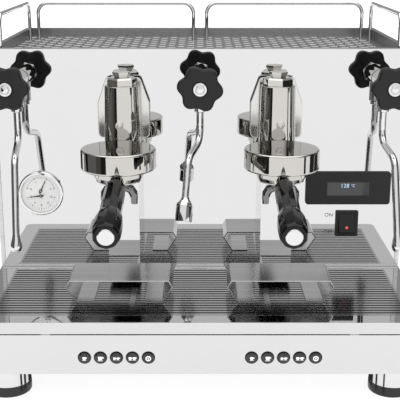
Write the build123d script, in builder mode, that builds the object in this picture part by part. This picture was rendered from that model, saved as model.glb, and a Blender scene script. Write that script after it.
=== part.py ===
"""Two-group espresso machine with push buttons, rotary taps and a pull-out drip tray.

Millimetres, +Z up, +X to the machine's right as seen from the front, front towards -Y.
The origin is on the ground, under the middle of the machine.
Places along the depth are given as distances ahead of the splash panel's front face.
"""
import os
from math import cos, radians, sin

from build123d import *

os.makedirs("parts", exist_ok=True)

# Cabinet
cabinet_width = 597.0
cabinet_height = 399.0
base_height = 38.0
rear_reach = 299.0
boiler_ahead = -150.0
tray_reach = 211.6
sheet = 1.5
panel_thickness = 2.0
fit_gap = 0.3
running_gap = 0.05
corner_radius = 10.0
side_return = 6.2

# Drip tray and the front panel under it
front_panel_height = 55.0
tray_gap = 1.5
tray_height = 15.8
splash_gap = 3.7

# Groups
group_spacing = 217.0
group_rise = 180.8
bell_ahead = 114.0
bell_radius = 50.2
bell_height = 28.0
column_ahead = 35.0
column_radius = 24.0
column_foot_radius = 26.0
column_lift = 3.0
column_height = 96.0

# Portafilters
handle_tilt = 9.0
handle_drop = 5.5
handle_end = 190.4
cap_radius = 10.6
cap_dome = 1.8

# Taps and wands
tap_inset = 35.3
tap_drop = 43.0
wand_ahead = 30.0
wand_radius = 5.0
wand_throw = 62.0
wand_lean = 17.0
knob_radius = 31.0
knob_face_ahead = 101.0

# Feet
foot_radius = 29.5
pad_height = 15.0
foot_inset = 41.5
front_foot_inset = 34.6
rear_foot_inset = 37.0

cabinet_top = base_height + cabinet_height
cabinet_half = cabinet_width / 2
splash_width = cabinet_width - 2 * side_return
splash_half = splash_width / 2
panel_top = base_height + front_panel_height
tray_foot = panel_top + tray_gap
tray_top = tray_foot + tray_height
splash_foot = tray_top + splash_gap
bell_foot = tray_top + group_rise
bell_top = bell_foot + bell_height
column_foot = bell_foot + column_lift
column_top = column_foot + column_height
handle_height = bell_foot - handle_drop
tap_spacing = splash_half - tap_inset
tap_height = cabinet_top - tap_drop
foot_spacing = cabinet_half - foot_inset
front_foot_ahead = tray_reach - front_foot_inset
rear_foot_ahead = rear_foot_inset - rear_reach
handle_reach = bell_ahead + handle_end * cos(radians(handle_tilt)) + cap_dome + cap_radius * sin(radians(handle_tilt))
splash_y = (handle_reach - rear_reach) / 2
group_x = group_spacing / 2
sides = {"left": -1, "right": 1}


def y_at(ahead):
    """World Y of a place that far ahead of the splash panel."""
    return splash_y - ahead


def facing(ahead):
    """Upright plane that far ahead of the splash panel; it extrudes towards the front."""
    return Plane.XZ.offset(-y_at(ahead))


def level(height):
    """Level plane at a height above the ground; it extrudes upwards."""
    return Plane.XY.offset(height)


def upright_axis(x, ahead):
    """Vertical axis at a place on the plan."""
    return Axis((x, y_at(ahead), 0), (0, 0, 1))


def write(piece, label):
    """Name a finished piece and write its STEP file."""
    piece.part.label = label
    export_step(piece.part, f"parts/{label}.step")


# Feet: a chrome sleeve over a rubber pad, four alike
pad_edge = 2.0
foot_places = [
    (side * foot_spacing, y_at(ahead))
    for side in sides.values()
    for ahead in (front_foot_ahead, rear_foot_ahead)
]

with BuildPart() as foot_pads:
    with BuildSketch(Plane.XY):
        with Locations(*foot_places):
            Circle(foot_radius)
    extrude(amount=pad_height)
    fillet(foot_pads.edges().group_by(Axis.Z)[0], pad_edge)
write(foot_pads, "foot_pads")

with BuildPart() as foot_sleeves:
    with BuildSketch(level(pad_height)):
        with Locations(*foot_places):
            Circle(foot_radius)
    extrude(amount=base_height - pad_height)
write(foot_sleeves, "foot_sleeves")

# Base pan: floor of the cabinet with an upstand all round
pan_wall = 12.0
inner_half = cabinet_half - sheet
pan_front = tray_reach - panel_thickness
pan_back = -(rear_reach - sheet)
pan_middle = (pan_front + pan_back) / 2
service_spacing = 90.0
service_hole = 9.0
service_behind = 75.0
service_ahead = boiler_ahead - service_behind
service_places = [(x, y_at(service_ahead)) for x in (-service_spacing, 0, service_spacing)]

with BuildPart() as base_pan:
    with BuildSketch(level(base_height)):
        with Locations((0, y_at(pan_middle))):
            Rectangle(2 * inner_half, pan_front - pan_back)
    extrude(amount=pan_wall)
    with BuildSketch(level(base_height + sheet)):
        with Locations((0, y_at(pan_middle))):
            Rectangle(2 * (inner_half - sheet), pan_front - pan_back - 2 * sheet)
    extrude(amount=pan_wall, mode=Mode.SUBTRACT)
    with BuildSketch(level(base_height)):
        with Locations(*service_places):
            Circle(service_hole)
    extrude(amount=sheet, mode=Mode.SUBTRACT)
write(base_pan, "base_pan")

# Front panel: the face with the button holes, folded back into the deck that the drip tray slides on,
# and up again behind the tray to the splash panel
button_count = 5
button_pitch = 20.8
button_offset = 0.2
button_rise = 23.6
guide_radius = 8.6
guide_bezel = 0.6
runner_width = 12.0
runner_inset = 97.0
runner_height = tray_gap - fit_gap
runner_spacing = inner_half - runner_inset
button_row_x = group_x + button_offset
button_height = base_height + button_rise
button_places = {
    side: [(sign * button_row_x + (index - (button_count - 1) / 2) * button_pitch, button_height)
           for index in range(button_count)]
    for side, sign in sides.items()
}

with BuildPart() as front_panel:
    with BuildSketch(facing(pan_front)):
        with Locations((0, (base_height + panel_top) / 2)):
            Rectangle(cabinet_width, panel_top - base_height)
        with Locations(*button_places["left"], *button_places["right"]):
            Circle(guide_radius + running_gap, mode=Mode.SUBTRACT)
    extrude(amount=panel_thickness)
    with BuildSketch(level(panel_top - sheet)):
        with Locations((0, y_at(pan_front / 2))):
            Rectangle(2 * inner_half, pan_front)
    extrude(amount=sheet)
    with BuildSketch(level(panel_top)):
        with Locations(*[(side * runner_spacing, y_at(pan_front / 2)) for side in sides.values()]):
            Rectangle(runner_width, pan_front)
    extrude(amount=runner_height)
    with BuildSketch(facing(-sheet)):
        with Locations((0, (panel_top - sheet + splash_foot - fit_gap) / 2)):
            Rectangle(2 * inner_half, splash_foot - fit_gap - panel_top + sheet)
    extrude(amount=sheet)
write(front_panel, "front_panel")

# Button guides: a tube and flange behind each button hole, closed at the back
button_radius = 7.4
button_travel = 1.5
guide_depth = 16.0
guide_floor = 2.0
guide_flange = 9.8
guide_tail = pan_front - guide_depth

with BuildPart() as button_guides:
    with BuildSketch(facing(guide_tail)):
        with Locations(*button_places["left"], *button_places["right"]):
            Circle(guide_radius)
    extrude(amount=tray_reach + guide_bezel - guide_tail)
    with BuildSketch(facing(pan_front - guide_floor)):
        with Locations(*button_places["left"], *button_places["right"]):
            Circle(guide_flange)
    extrude(amount=guide_floor)
    with BuildSketch(facing(guide_tail + guide_floor)):
        with Locations(*button_places["left"], *button_places["right"]):
            Circle(button_radius + running_gap)
    extrude(amount=guide_depth + tray_reach - pan_front, mode=Mode.SUBTRACT)
write(button_guides, "button_guides")

# Brew buttons: ten domed plungers, each sliding in its own guide
button_tail = guide_tail + guide_floor + button_travel + fit_gap
button_rim = tray_reach + button_travel + fit_gap
button_dome = 1.6
brew_names = ["one_small", "one_large", "two_small", "two_large", "manual"]

for side, places in button_places.items():
    for name, (x, z) in zip(brew_names, places):
        with BuildPart() as brew_button:
            with BuildSketch(Plane(origin=(x, 0, z), x_dir=(1, 0, 0), z_dir=(0, 0, 1))):
                with BuildLine():
                    crown = TangentArc(
                        (0, y_at(button_rim + button_dome)), (button_radius, y_at(button_rim)), tangent=(1, 0)
                    )
                    Polyline(crown @ 1, (button_radius, y_at(button_tail)), (0, y_at(button_tail)), crown @ 0)
                make_face()
            revolve(axis=Axis((x, 0, z), (0, 1, 0)))
        write(brew_button, f"{side}_{name}_button")

# Side panels: full height behind the splash, low beside the drip tray, with a return at the front edge
return_depth = 8.0
rim_sheet = 1.5
wall_top = cabinet_top - rim_sheet

for side, sign in sides.items():
    with BuildPart() as side_panel:
        with BuildSketch(Plane.YZ.offset(sign * cabinet_half)):
            with BuildLine():
                Polyline(
                    (y_at(pan_front), base_height),
                    (y_at(pan_front), panel_top),
                    (splash_y, panel_top),
                    (splash_y, wall_top),
                    (y_at(pan_back), wall_top),
                    (y_at(pan_back), base_height),
                    close=True,
                )
            make_face()
        extrude(amount=-sign * sheet)
        with BuildSketch(level(splash_foot)):
            with Locations((sign * (cabinet_half - side_return / 2), y_at(-return_depth / 2))):
                Rectangle(side_return, return_depth)
        extrude(amount=wall_top - splash_foot)
    write(side_panel, f"{side}_side_panel")

# Rear panel with rows of vent slots
vent_columns = 9
vent_rows = 6
vent_pitch_x = 44.0
vent_pitch_z = 18.0
vent_length = 34.0
vent_width = 5.0
vent_drop = 137.0
vent_height = cabinet_top - vent_drop

with BuildPart() as rear_panel:
    with BuildSketch(facing(-rear_reach)):
        with Locations((0, (base_height + wall_top) / 2)):
            Rectangle(cabinet_width, wall_top - base_height)
        with Locations((0, vent_height)):
            with GridLocations(vent_pitch_x, vent_pitch_z, vent_columns, vent_rows):
                SlotOverall(vent_length, vent_width, mode=Mode.SUBTRACT)
    extrude(amount=sheet)
write(rear_panel, "rear_panel")

# Splash panel: polished sheet with a hole for all that passes through it
barrel_radius = 13.0
gauge_inset = 58.2
gauge_rise = 110.8
gauge_radius = 33.2
gauge_can_radius = 29.5
switch_inset = 74.7
switch_rise = 64.5
switch_width = 33.4
switch_tall = 38.8
switch_neck_width = 28.0
switch_neck_tall = 34.0
stem_radius = 15.0
boss_rise = 56.0
gauge_x = gauge_inset - splash_half
gauge_height = splash_foot + gauge_rise
switch_x = splash_half - switch_inset
switch_height = splash_foot + switch_rise
group_boss_height = column_foot + boss_rise
tap_places = {"left": -tap_spacing, "centre": 0.0, "right": tap_spacing}

with BuildPart() as splash_panel:
    with BuildSketch(facing(-panel_thickness)):
        with Locations((0, (splash_foot + wall_top) / 2)):
            Rectangle(splash_width - 2 * fit_gap, wall_top - splash_foot)
        with Locations(*[(x, tap_height) for x in tap_places.values()]):
            Circle(barrel_radius + fit_gap, mode=Mode.SUBTRACT)
        with Locations(*[(sign * group_x, group_boss_height) for sign in sides.values()]):
            Circle(stem_radius + fit_gap, mode=Mode.SUBTRACT)
        with Locations((gauge_x, gauge_height)):
            Circle(gauge_can_radius + fit_gap, mode=Mode.SUBTRACT)
        with Locations((switch_x, switch_height)):
            Rectangle(switch_neck_width + 2 * fit_gap, switch_neck_tall + 2 * fit_gap, mode=Mode.SUBTRACT)
    extrude(amount=panel_thickness)
write(splash_panel, "splash_panel")

# Cup tray: a pan sunk into the top of the cabinet
pan_sink = 15.0
pan_inset = 8.0
pan_floor_top = cabinet_top - pan_sink
pan_half = cabinet_half - pan_inset
pan_front_rim = panel_thickness + sheet + fit_gap
pan_rear_rim = sheet + panel_thickness
pan_length = rear_reach - pan_front_rim - pan_rear_rim
pan_ahead = -(pan_front_rim + pan_length / 2)

with BuildPart() as cup_tray:
    with BuildSketch(level(wall_top)):
        with Locations((0, y_at(-rear_reach / 2))):
            Rectangle(cabinet_width, rear_reach)
    extrude(amount=rim_sheet)
    with BuildSketch(level(pan_floor_top - sheet)):
        with Locations((0, y_at(pan_ahead))):
            Rectangle(2 * (pan_half + sheet), pan_length + 2 * sheet)
    extrude(amount=wall_top - pan_floor_top + sheet)
    with BuildSketch(level(pan_floor_top)):
        with Locations((0, y_at(pan_ahead))):
            Rectangle(2 * pan_half, pan_length)
    extrude(amount=cabinet_top - pan_floor_top, mode=Mode.SUBTRACT)
write(cup_tray, "cup_tray")

# Cup rails: two wire loops along the back and one down each side, standing in the pan
rail_radius = 3.0
rail_rise = 45.0
rail_bend = 17.0
rail_inset = 49.0
rail_inner = 11.0
rail_end_inset = 29.5
side_rail_inset = 14.5
side_rail_front = -14.0
rail_top = cabinet_top + rail_rise
rail_ahead = rail_inset - rear_reach
rail_outer = cabinet_half - rail_end_inset
side_rail_x = cabinet_half - side_rail_inset

with BuildPart() as cup_rails:
    for sign in sides.values():
        with BuildLine(facing(rail_ahead)) as rear_route:
            FilletPolyline(
                (sign * rail_outer, pan_floor_top),
                (sign * rail_outer, rail_top),
                (sign * rail_inner, rail_top),
                (sign * rail_inner, pan_floor_top),
                radius=rail_bend,
            )
        with BuildSketch(Plane(origin=rear_route.line @ 0, z_dir=rear_route.line % 0)):
            Circle(rail_radius)
        sweep(path=rear_route.line)
        with BuildLine(Plane.YZ.offset(sign * side_rail_x)) as side_route:
            FilletPolyline(
                (y_at(rail_ahead), pan_floor_top),
                (y_at(rail_ahead), rail_top),
                (y_at(side_rail_front), rail_top),
                (y_at(side_rail_front), pan_floor_top),
                radius=rail_bend,
            )
        with BuildSketch(Plane(origin=side_route.line @ 0, z_dir=side_route.line % 0)):
            Circle(rail_radius)
        sweep(path=side_route.line)
write(cup_rails, "cup_rails")

# Drip tray: a shallow drawer with a polished rim and fascia round a sunk pan
tray_side_rim = 24.5
tray_front_rim = 24.2
grid_back = 10.0
grid_thickness = 3.0
grid_ledge = 3.0
tray_sheet = 1.5
tray_back = 1.0
grid_half = cabinet_half - tray_side_rim
grid_front = tray_reach - tray_front_rim
grid_middle = (grid_front + grid_back) / 2
grid_depth = grid_front - grid_back
tray_middle = (tray_reach + tray_back) / 2
tray_depth = tray_reach - tray_back
well_half = grid_half - grid_ledge
well_depth = grid_depth - 2 * grid_ledge

with BuildPart() as drip_tray:
    with BuildSketch(level(tray_foot)):
        with Locations((0, y_at(tray_middle))):
            Rectangle(cabinet_width, tray_depth)
    extrude(amount=tray_top - tray_foot)
    fillet(drip_tray.edges().filter_by(Axis.Z).group_by(Axis.Y)[0], corner_radius)
    with BuildSketch(level(tray_top - grid_thickness)):
        with Locations((0, y_at(grid_middle))):
            Rectangle(2 * (grid_half + fit_gap), grid_depth + 2 * fit_gap)
    extrude(amount=grid_thickness, mode=Mode.SUBTRACT)
    with BuildSketch(level(tray_foot + tray_sheet)):
        with Locations((0, y_at(grid_middle))):
            Rectangle(2 * well_half, well_depth)
    extrude(amount=tray_top - tray_foot, mode=Mode.SUBTRACT)
    with BuildSketch(level(tray_foot)):
        with Locations((0, y_at(tray_middle))):
            RectangleRounded(cabinet_width - 2 * tray_sheet, tray_depth - 2 * tray_sheet, corner_radius - tray_sheet)
        with Locations((0, y_at(grid_middle))):
            Rectangle(2 * (grid_half + fit_gap + tray_sheet), grid_depth + 2 * (fit_gap + tray_sheet), mode=Mode.SUBTRACT)
    extrude(amount=tray_top - tray_foot - tray_sheet, mode=Mode.SUBTRACT)
write(drip_tray, "drip_tray")

# Drip grid: one sheet with long slots in rows, lifted out of the tray for cleaning
slot_rows = 20
slot_width = 3.2
slot_columns = 3
slot_rib = 7.0
slot_margin = 2.0
slot_end = 4.7
slot_pitch = (grid_depth - 2 * slot_end) / slot_rows
slot_span = (2 * (grid_half - slot_margin) + slot_rib) / slot_columns

with BuildPart() as drip_grid:
    with BuildSketch(level(tray_top - grid_thickness)):
        with Locations((0, y_at(grid_middle))):
            Rectangle(2 * grid_half, grid_depth)
            with GridLocations(slot_span, slot_pitch, slot_columns, slot_rows):
                Rectangle(slot_span - slot_rib, slot_width, mode=Mode.SUBTRACT)
    extrude(amount=grid_thickness)
write(drip_grid, "drip_grid")

# Cup stands: bent sheet bridges standing on the grid under each group
stand_back = 71.0
stand_front = 142.0
stand_top_half = 66.7
stand_bulge_half = 72.0
stand_foot_half = 58.5
stand_toe = 24.0
stand_rise = 31.0
stand_bulge_rise = 21.7
stand_bend = 7.0
stand_sheet = 1.5
stand_offset = 0.9
stand_x = group_x + stand_offset

for side, sign in sides.items():
    with BuildPart() as cup_stand:
        with BuildSketch(facing(stand_back)):
            with BuildLine() as stand_line:
                FilletPolyline(
                    (sign * stand_x - stand_foot_half + stand_toe, tray_top + stand_sheet / 2),
                    (sign * stand_x - stand_foot_half, tray_top + stand_sheet / 2),
                    (sign * stand_x - stand_bulge_half, tray_top + stand_bulge_rise),
                    (sign * stand_x - stand_top_half, tray_top + stand_rise - stand_sheet / 2),
                    (sign * stand_x + stand_top_half, tray_top + stand_rise - stand_sheet / 2),
                    (sign * stand_x + stand_bulge_half, tray_top + stand_bulge_rise),
                    (sign * stand_x + stand_foot_half, tray_top + stand_sheet / 2),
                    (sign * stand_x + stand_foot_half - stand_toe, tray_top + stand_sheet / 2),
                    radius=stand_sheet,
                )
            trace(line_width=stand_sheet)
        extrude(amount=stand_front - stand_back)
    write(cup_stand, f"{side}_cup_stand")

# Group heads: a tapered column on a winged flange, with the bell for the portafilter low in front of it
lip_radius = 37.5
lip_height = 7.5
groove_radius = 44.3
groove_height = 7.0
cavity_radius = 36.6
bell_roof = 6.0
bell_chamfer = 3.0
boss_radius = 22.0
boss_drop = 4.0
wing_ahead = 10.0
wing_thickness = 4.4
wing_half = 36.5
wing_top_half = 24.0
wing_drop = 8.1
wing_side_height = 50.5
wing_slope_height = 36.0
arm_half = 18.0
arm_back = 8.0
flange_boss_radius = 28.0
stem_tail = -10.0
jet_rise = 43.6
jet_offset = 2.6
jet_radius = 5.7
jet_seat = 5.0
jet_head = 1.2
jet_socket = 2.6
ear_width = 17.0
ear_slot_width = 21.0
unlock_turn = 50.0
wing_foot = bell_top - wing_drop
wing_shoulder = wing_foot + wing_side_height
wing_top = wing_shoulder + wing_slope_height
jet_height = column_foot + jet_rise
cavity_foot = bell_foot + lip_height + groove_height
cavity_roof = bell_top - bell_roof
column_front = column_ahead + (column_radius + column_foot_radius) / 2
jet_x = group_x + jet_offset

for side, sign in sides.items():
    x = sign * group_x
    with BuildPart() as group_head:
        with BuildSketch(level(bell_foot)):
            with Locations((x, y_at(bell_ahead))):
                Circle(bell_radius)
        extrude(amount=bell_top - bell_foot)
        chamfer(group_head.edges().group_by(Axis.Z)[-1], bell_chamfer)
        with BuildSketch(level(bell_foot + bell_chamfer)):
            with Locations((x, y_at((bell_ahead + arm_back) / 2))):
                Rectangle(2 * arm_half, bell_ahead - arm_back)
        extrude(amount=bell_height - 2 * bell_chamfer)
        with BuildSketch(level(column_foot)):
            with Locations((x, y_at(column_ahead))):
                Circle(column_foot_radius)
        with BuildSketch(level(column_top)):
            with Locations((x, y_at(column_ahead))):
                Circle(column_radius)
        loft()
        with BuildSketch(facing(wing_ahead)):
            with BuildLine():
                Polyline(
                    (x - wing_half, wing_foot),
                    (x - wing_half, wing_shoulder),
                    (x - wing_top_half, wing_top),
                    (x + wing_top_half, wing_top),
                    (x + wing_half, wing_shoulder),
                    (x + wing_half, wing_foot),
                    close=True,
                )
            make_face()
        extrude(amount=wing_thickness)
        with BuildSketch(facing(0)):
            with Locations((x, group_boss_height)):
                Circle(flange_boss_radius)
        extrude(amount=wing_ahead)
        with BuildSketch(facing(stem_tail)):
            with Locations((x, group_boss_height)):
                Circle(stem_radius)
        extrude(amount=wing_ahead - stem_tail)
        for foot, roof, radius in (
            (bell_foot, bell_foot + lip_height, lip_radius),
            (bell_foot + lip_height, cavity_foot, groove_radius),
            (cavity_foot, cavity_roof, cavity_radius),
        ):
            with BuildSketch(level(foot)):
                with Locations((x, y_at(bell_ahead))):
                    Circle(radius)
            extrude(amount=roof - foot, mode=Mode.SUBTRACT)
        with BuildSketch(level(bell_foot)):
            with Locations((x, y_at(bell_ahead))):
                Rectangle(2 * groove_radius, ear_slot_width, rotation=-unlock_turn)
                Circle(groove_radius, mode=Mode.INTERSECT)
        extrude(amount=lip_height, mode=Mode.SUBTRACT)
        with BuildSketch(level(cavity_roof - boss_drop)):
            with Locations((x, y_at(bell_ahead))):
                Circle(boss_radius)
        extrude(amount=boss_drop)
        with BuildSketch(facing(column_front - jet_seat)):
            with Locations((sign * jet_x, jet_height)):
                Circle(jet_radius + running_gap)
        extrude(amount=jet_seat + jet_head, mode=Mode.SUBTRACT)
    write(group_head, f"{side}_group_head")

# Group caps: a large hexagon nut on each column with a small flared hexagon on top, and the jet plug below
nut_radius = 20.5
nut_height = 11.0
nut_chamfer = 2.4
nut_turn = 18.0
flare_foot_radius = 10.0
flare_radius = 13.2
flare_height = 5.0
flare_rim = 2.5

with BuildPart() as group_caps:
    for sign in sides.values():
        centre = (sign * group_x, y_at(column_ahead))
        with BuildSketch(level(column_top)):
            with Locations(centre):
                RegularPolygon(nut_radius, 6, rotation=-sign * nut_turn)
        extrude(amount=nut_height)
    chamfer(group_caps.edges().group_by(Axis.Z)[-1], nut_chamfer)
    for sign in sides.values():
        centre = (sign * group_x, y_at(column_ahead))
        with BuildSketch(level(column_top + nut_height)):
            with Locations(centre):
                RegularPolygon(flare_foot_radius, 6, rotation=-sign * nut_turn)
        with BuildSketch(level(column_top + nut_height + flare_height)):
            with Locations(centre):
                RegularPolygon(flare_radius, 6, rotation=-sign * nut_turn)
        loft(ruled=True)
        with BuildSketch(level(column_top + nut_height + flare_height)):
            with Locations(centre):
                RegularPolygon(flare_radius, 6, rotation=-sign * nut_turn)
        extrude(amount=flare_rim)
    with BuildSketch(facing(column_front - jet_seat)):
        with Locations(*[(sign * jet_x, jet_height) for sign in sides.values()]):
            Circle(jet_radius)
    extrude(amount=jet_seat + jet_head)
    chamfer(group_caps.edges().group_by(Axis.Y)[0], jet_head / 2)
    with BuildSketch(facing(column_front - jet_seat / 2)):
        with Locations(*[(sign * jet_x, jet_height) for sign in sides.values()]):
            RegularPolygon(jet_socket, 6)
    extrude(amount=jet_seat, mode=Mode.SUBTRACT)
write(group_caps, "group_caps")

# Shower screens and gaskets inside the bells
screen_radius = 27.5
screen_thickness = 1.2
screen_hole = 1.2
screen_inner_ring = 8.0
screen_ring_pitch = 7.0
screen_rings = 3
holes_per_ring = 8
gasket_inner = 28.5
rim_top = cavity_foot
gasket_foot = rim_top + fit_gap

with BuildPart() as shower_screens:
    with BuildSketch(level(cavity_roof - boss_drop - screen_thickness)):
        for sign in sides.values():
            with Locations((sign * group_x, y_at(bell_ahead))):
                Circle(screen_radius)
                for ring in range(screen_rings):
                    with PolarLocations(screen_inner_ring + ring * screen_ring_pitch, (ring + 1) * holes_per_ring):
                        Circle(screen_hole, mode=Mode.SUBTRACT)
    extrude(amount=screen_thickness)
write(shower_screens, "shower_screens")

with BuildPart() as group_gaskets:
    with BuildSketch(level(gasket_foot)):
        with Locations(*[(sign * group_x, y_at(bell_ahead)) for sign in sides.values()]):
            Circle(cavity_radius - running_gap)
            Circle(gasket_inner, mode=Mode.SUBTRACT)
    extrude(amount=cavity_roof - gasket_foot)
write(group_gaskets, "group_gaskets")

# Pedestals: boxed covers on the splash panel below each group
pedestal_width = 45.0
pedestal_front = 55.0
pedestal_lift = 15.7
pedestal_wall = 1.5
pedestal_foot = tray_top + pedestal_lift

with BuildPart() as pedestals:
    with BuildSketch(level(pedestal_foot)):
        with Locations(*[(sign * group_x, y_at(pedestal_front / 2)) for sign in sides.values()]):
            Rectangle(pedestal_width, pedestal_front)
    extrude(amount=bell_foot - pedestal_foot)
    with BuildSketch(level(pedestal_foot)):
        with Locations(*[(sign * group_x, y_at((pedestal_front - pedestal_wall) / 2)) for sign in sides.values()]):
            Rectangle(pedestal_width - 2 * pedestal_wall, pedestal_front - pedestal_wall)
    extrude(amount=bell_foot - pedestal_foot - pedestal_wall, mode=Mode.SUBTRACT)
write(pedestals, "pedestals")

# Portafilters: bowl with bayonet ears, tapered neck with a threaded rod, and a double spout
bowl_radius = 33.6
flange_radius = 36.9
flange_lift = 4.6
ear_radius = 43.6
ear_clearance = 0.4
basket_rim = 0.8
bowl_bore = 30.4
bowl_drop = 12.5
floor_drop = 4.0
cone_radius = 14.0
cone_length = 12.0
spout_drop = 6.0
spout_length = 14.5
spout_reach = 20.0
spout_radius = 4.8
spout_bore = 3.2
spout_bend = 10.0
neck_root = 24.0
neck_root_radius = 9.0
neck_radius = 8.0
handle_start = 52.0
rod_radius = 4.0
rod_length = 23.0
bowl_top = rim_top - basket_rim
flange_foot = bell_foot + flange_lift
bowl_waist = bell_foot - bowl_drop
bowl_floor = bowl_waist - floor_drop
cone_foot = bowl_floor - cone_length
spout_height = cone_foot - spout_drop
spout_foot = spout_height - spout_length


def handle_plane(x, along):
    """Plane square to a handle's axis, that far along it from the group's axis."""
    tilt = radians(handle_tilt)
    axis_plane = Plane(
        origin=(x, y_at(bell_ahead), handle_height), x_dir=(1, 0, 0), z_dir=(0, -cos(tilt), -sin(tilt))
    )
    return axis_plane.offset(along)


def turned_plane(x):
    """Upright plane through a group's axis: local x is the radius, local y is the height."""
    return Plane(origin=(x, y_at(bell_ahead), 0), x_dir=(1, 0, 0), z_dir=(0, -1, 0))


for side, sign in sides.items():
    x = sign * group_x
    with BuildPart() as portafilter:
        with BuildSketch(turned_plane(x)):
            with BuildLine():
                Polyline(
                    (0, spout_height),
                    (cone_radius - spout_radius, spout_height),
                    (cone_radius, cone_foot),
                    (bowl_radius, bowl_waist),
                    (bowl_radius, flange_foot),
                    (flange_radius, flange_foot),
                    (flange_radius, bowl_top),
                    (0, bowl_top),
                    close=True,
                )
            make_face()
        revolve(axis=upright_axis(x, bell_ahead))
        with BuildSketch(level(bell_foot + lip_height + ear_clearance)):
            with Locations((x, y_at(bell_ahead))):
                Rectangle(2 * ear_radius, ear_width)
                Circle(ear_radius, mode=Mode.INTERSECT)
        extrude(amount=bowl_top - bell_foot - lip_height - ear_clearance)
        with BuildSketch(handle_plane(x, neck_root)):
            Circle(neck_root_radius)
        with BuildSketch(handle_plane(x, handle_start)):
            Circle(neck_radius)
        loft()
        with BuildSketch(handle_plane(x, handle_start)):
            Circle(rod_radius)
        extrude(amount=rod_length)
        for reach in (-spout_reach, spout_reach):
            with BuildLine(facing(bell_ahead)) as spout_route:
                FilletPolyline(
                    (x, spout_height), (x + reach, spout_height), (x + reach, spout_foot), radius=spout_bend
                )
            with BuildSketch(Plane(origin=spout_route.line @ 0, z_dir=spout_route.line % 0)):
                Circle(spout_radius)
            sweep(path=spout_route.line)
            with BuildSketch(level(spout_foot)):
                with Locations((x + reach, y_at(bell_ahead))):
                    Circle(spout_bore)
            extrude(amount=spout_bend, mode=Mode.SUBTRACT)
        with BuildSketch(turned_plane(x)):
            with BuildLine():
                Polyline(
                    (0, cone_foot),
                    (spout_bore, cone_foot),
                    (spout_bore, bowl_floor - spout_bore),
                    (bowl_bore, bowl_floor),
                    (bowl_bore, bowl_top),
                    (0, bowl_top),
                    close=True,
                )
            make_face()
        revolve(axis=upright_axis(x, bell_ahead), mode=Mode.SUBTRACT)
    write(portafilter, f"{side}_portafilter")

# Filter baskets, hung by their rims in the bowls
basket_radius = 29.8
basket_wall = 0.8
basket_depth = 25.0
basket_corner = 4.0

for side, sign in sides.items():
    x = sign * group_x
    with BuildPart() as filter_basket:
        with BuildSketch(level(rim_top - basket_depth)):
            with Locations((x, y_at(bell_ahead))):
                Circle(basket_radius)
        extrude(amount=basket_depth)
        fillet(filter_basket.edges().group_by(Axis.Z)[0], basket_corner)
        offset(amount=-basket_wall, openings=filter_basket.faces().sort_by(Axis.Z)[-1])
        with BuildSketch(level(bowl_top)):
            with Locations((x, y_at(bell_ahead))):
                Circle(flange_radius)
                Circle(basket_radius - basket_wall, mode=Mode.SUBTRACT)
        extrude(amount=basket_rim)
    write(filter_basket, f"{side}_filter_basket")

# Handles: faceted near part, a shoulder and a thicker grip, with a chrome cap set in the end
handle_facets = 10
handle_root_radius = 13.4
waist_radius = 14.0
waist_lead = 48.0
waist_end_back = 56.4
shoulder_radius = 17.0
shoulder_back = 47.4
grip_radius = 18.0
grip_back = 25.4
brow_radius = 17.2
brow_back = 4.4
handle_end_radius = 15.6
handle_sections = [
    (handle_start, handle_root_radius),
    (handle_start + waist_lead, waist_radius),
    (handle_end - waist_end_back, waist_radius),
    (handle_end - shoulder_back, shoulder_radius),
    (handle_end - grip_back, grip_radius),
    (handle_end - brow_back, brow_radius),
    (handle_end, handle_end_radius),
]
cap_depth = 3.0
cap_edge = 1.5
screw_lead = 12.0
screw_radius = 1.8
screw_depth = 3.0
screw_along = handle_start + screw_lead
rod_bore = rod_radius + running_gap

for side, sign in sides.items():
    x = sign * group_x
    with BuildPart() as handle:
        for along, radius in handle_sections:
            with BuildSketch(handle_plane(x, along)):
                RegularPolygon(radius, handle_facets)
        loft(ruled=True)
        with BuildSketch(handle_plane(x, handle_start)):
            Circle(rod_bore)
        extrude(amount=rod_length + fit_gap, mode=Mode.SUBTRACT)
        with BuildSketch(handle_plane(x, handle_end - cap_depth)):
            Circle(cap_radius + running_gap)
        extrude(amount=cap_depth, mode=Mode.SUBTRACT)
        with BuildSketch(
            Plane(
                origin=handle_plane(x, screw_along).origin + handle_plane(x, 0).y_dir * handle_root_radius,
                x_dir=(1, 0, 0),
                z_dir=handle_plane(x, 0).y_dir,
            )
        ):
            Circle(screw_radius)
        extrude(amount=screw_depth, both=True, mode=Mode.SUBTRACT)
        with BuildSketch(handle_plane(x, handle_end - cap_depth)):
            Circle(cap_radius)
        extrude(amount=cap_depth + cap_dome)
        fillet(handle.edges().filter_by(GeomType.CIRCLE).group_by(Axis.Y)[0], cap_edge)
    write(handle, f"{side}_handle")

# Tap valves: barrel through the splash panel, packing nut in front and a leg down to the wand
barrel_front = 62.0
packing_radius = 15.0
packing_length = 12.0
spindle_radius = 4.0
spindle_tail = 38.0
leg_radius = 10.0
leg_length = 36.0
plug_radius = 6.5
plug_height = 10.0
packing_front = barrel_front + packing_length
leg_foot = tap_height - leg_length

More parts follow.
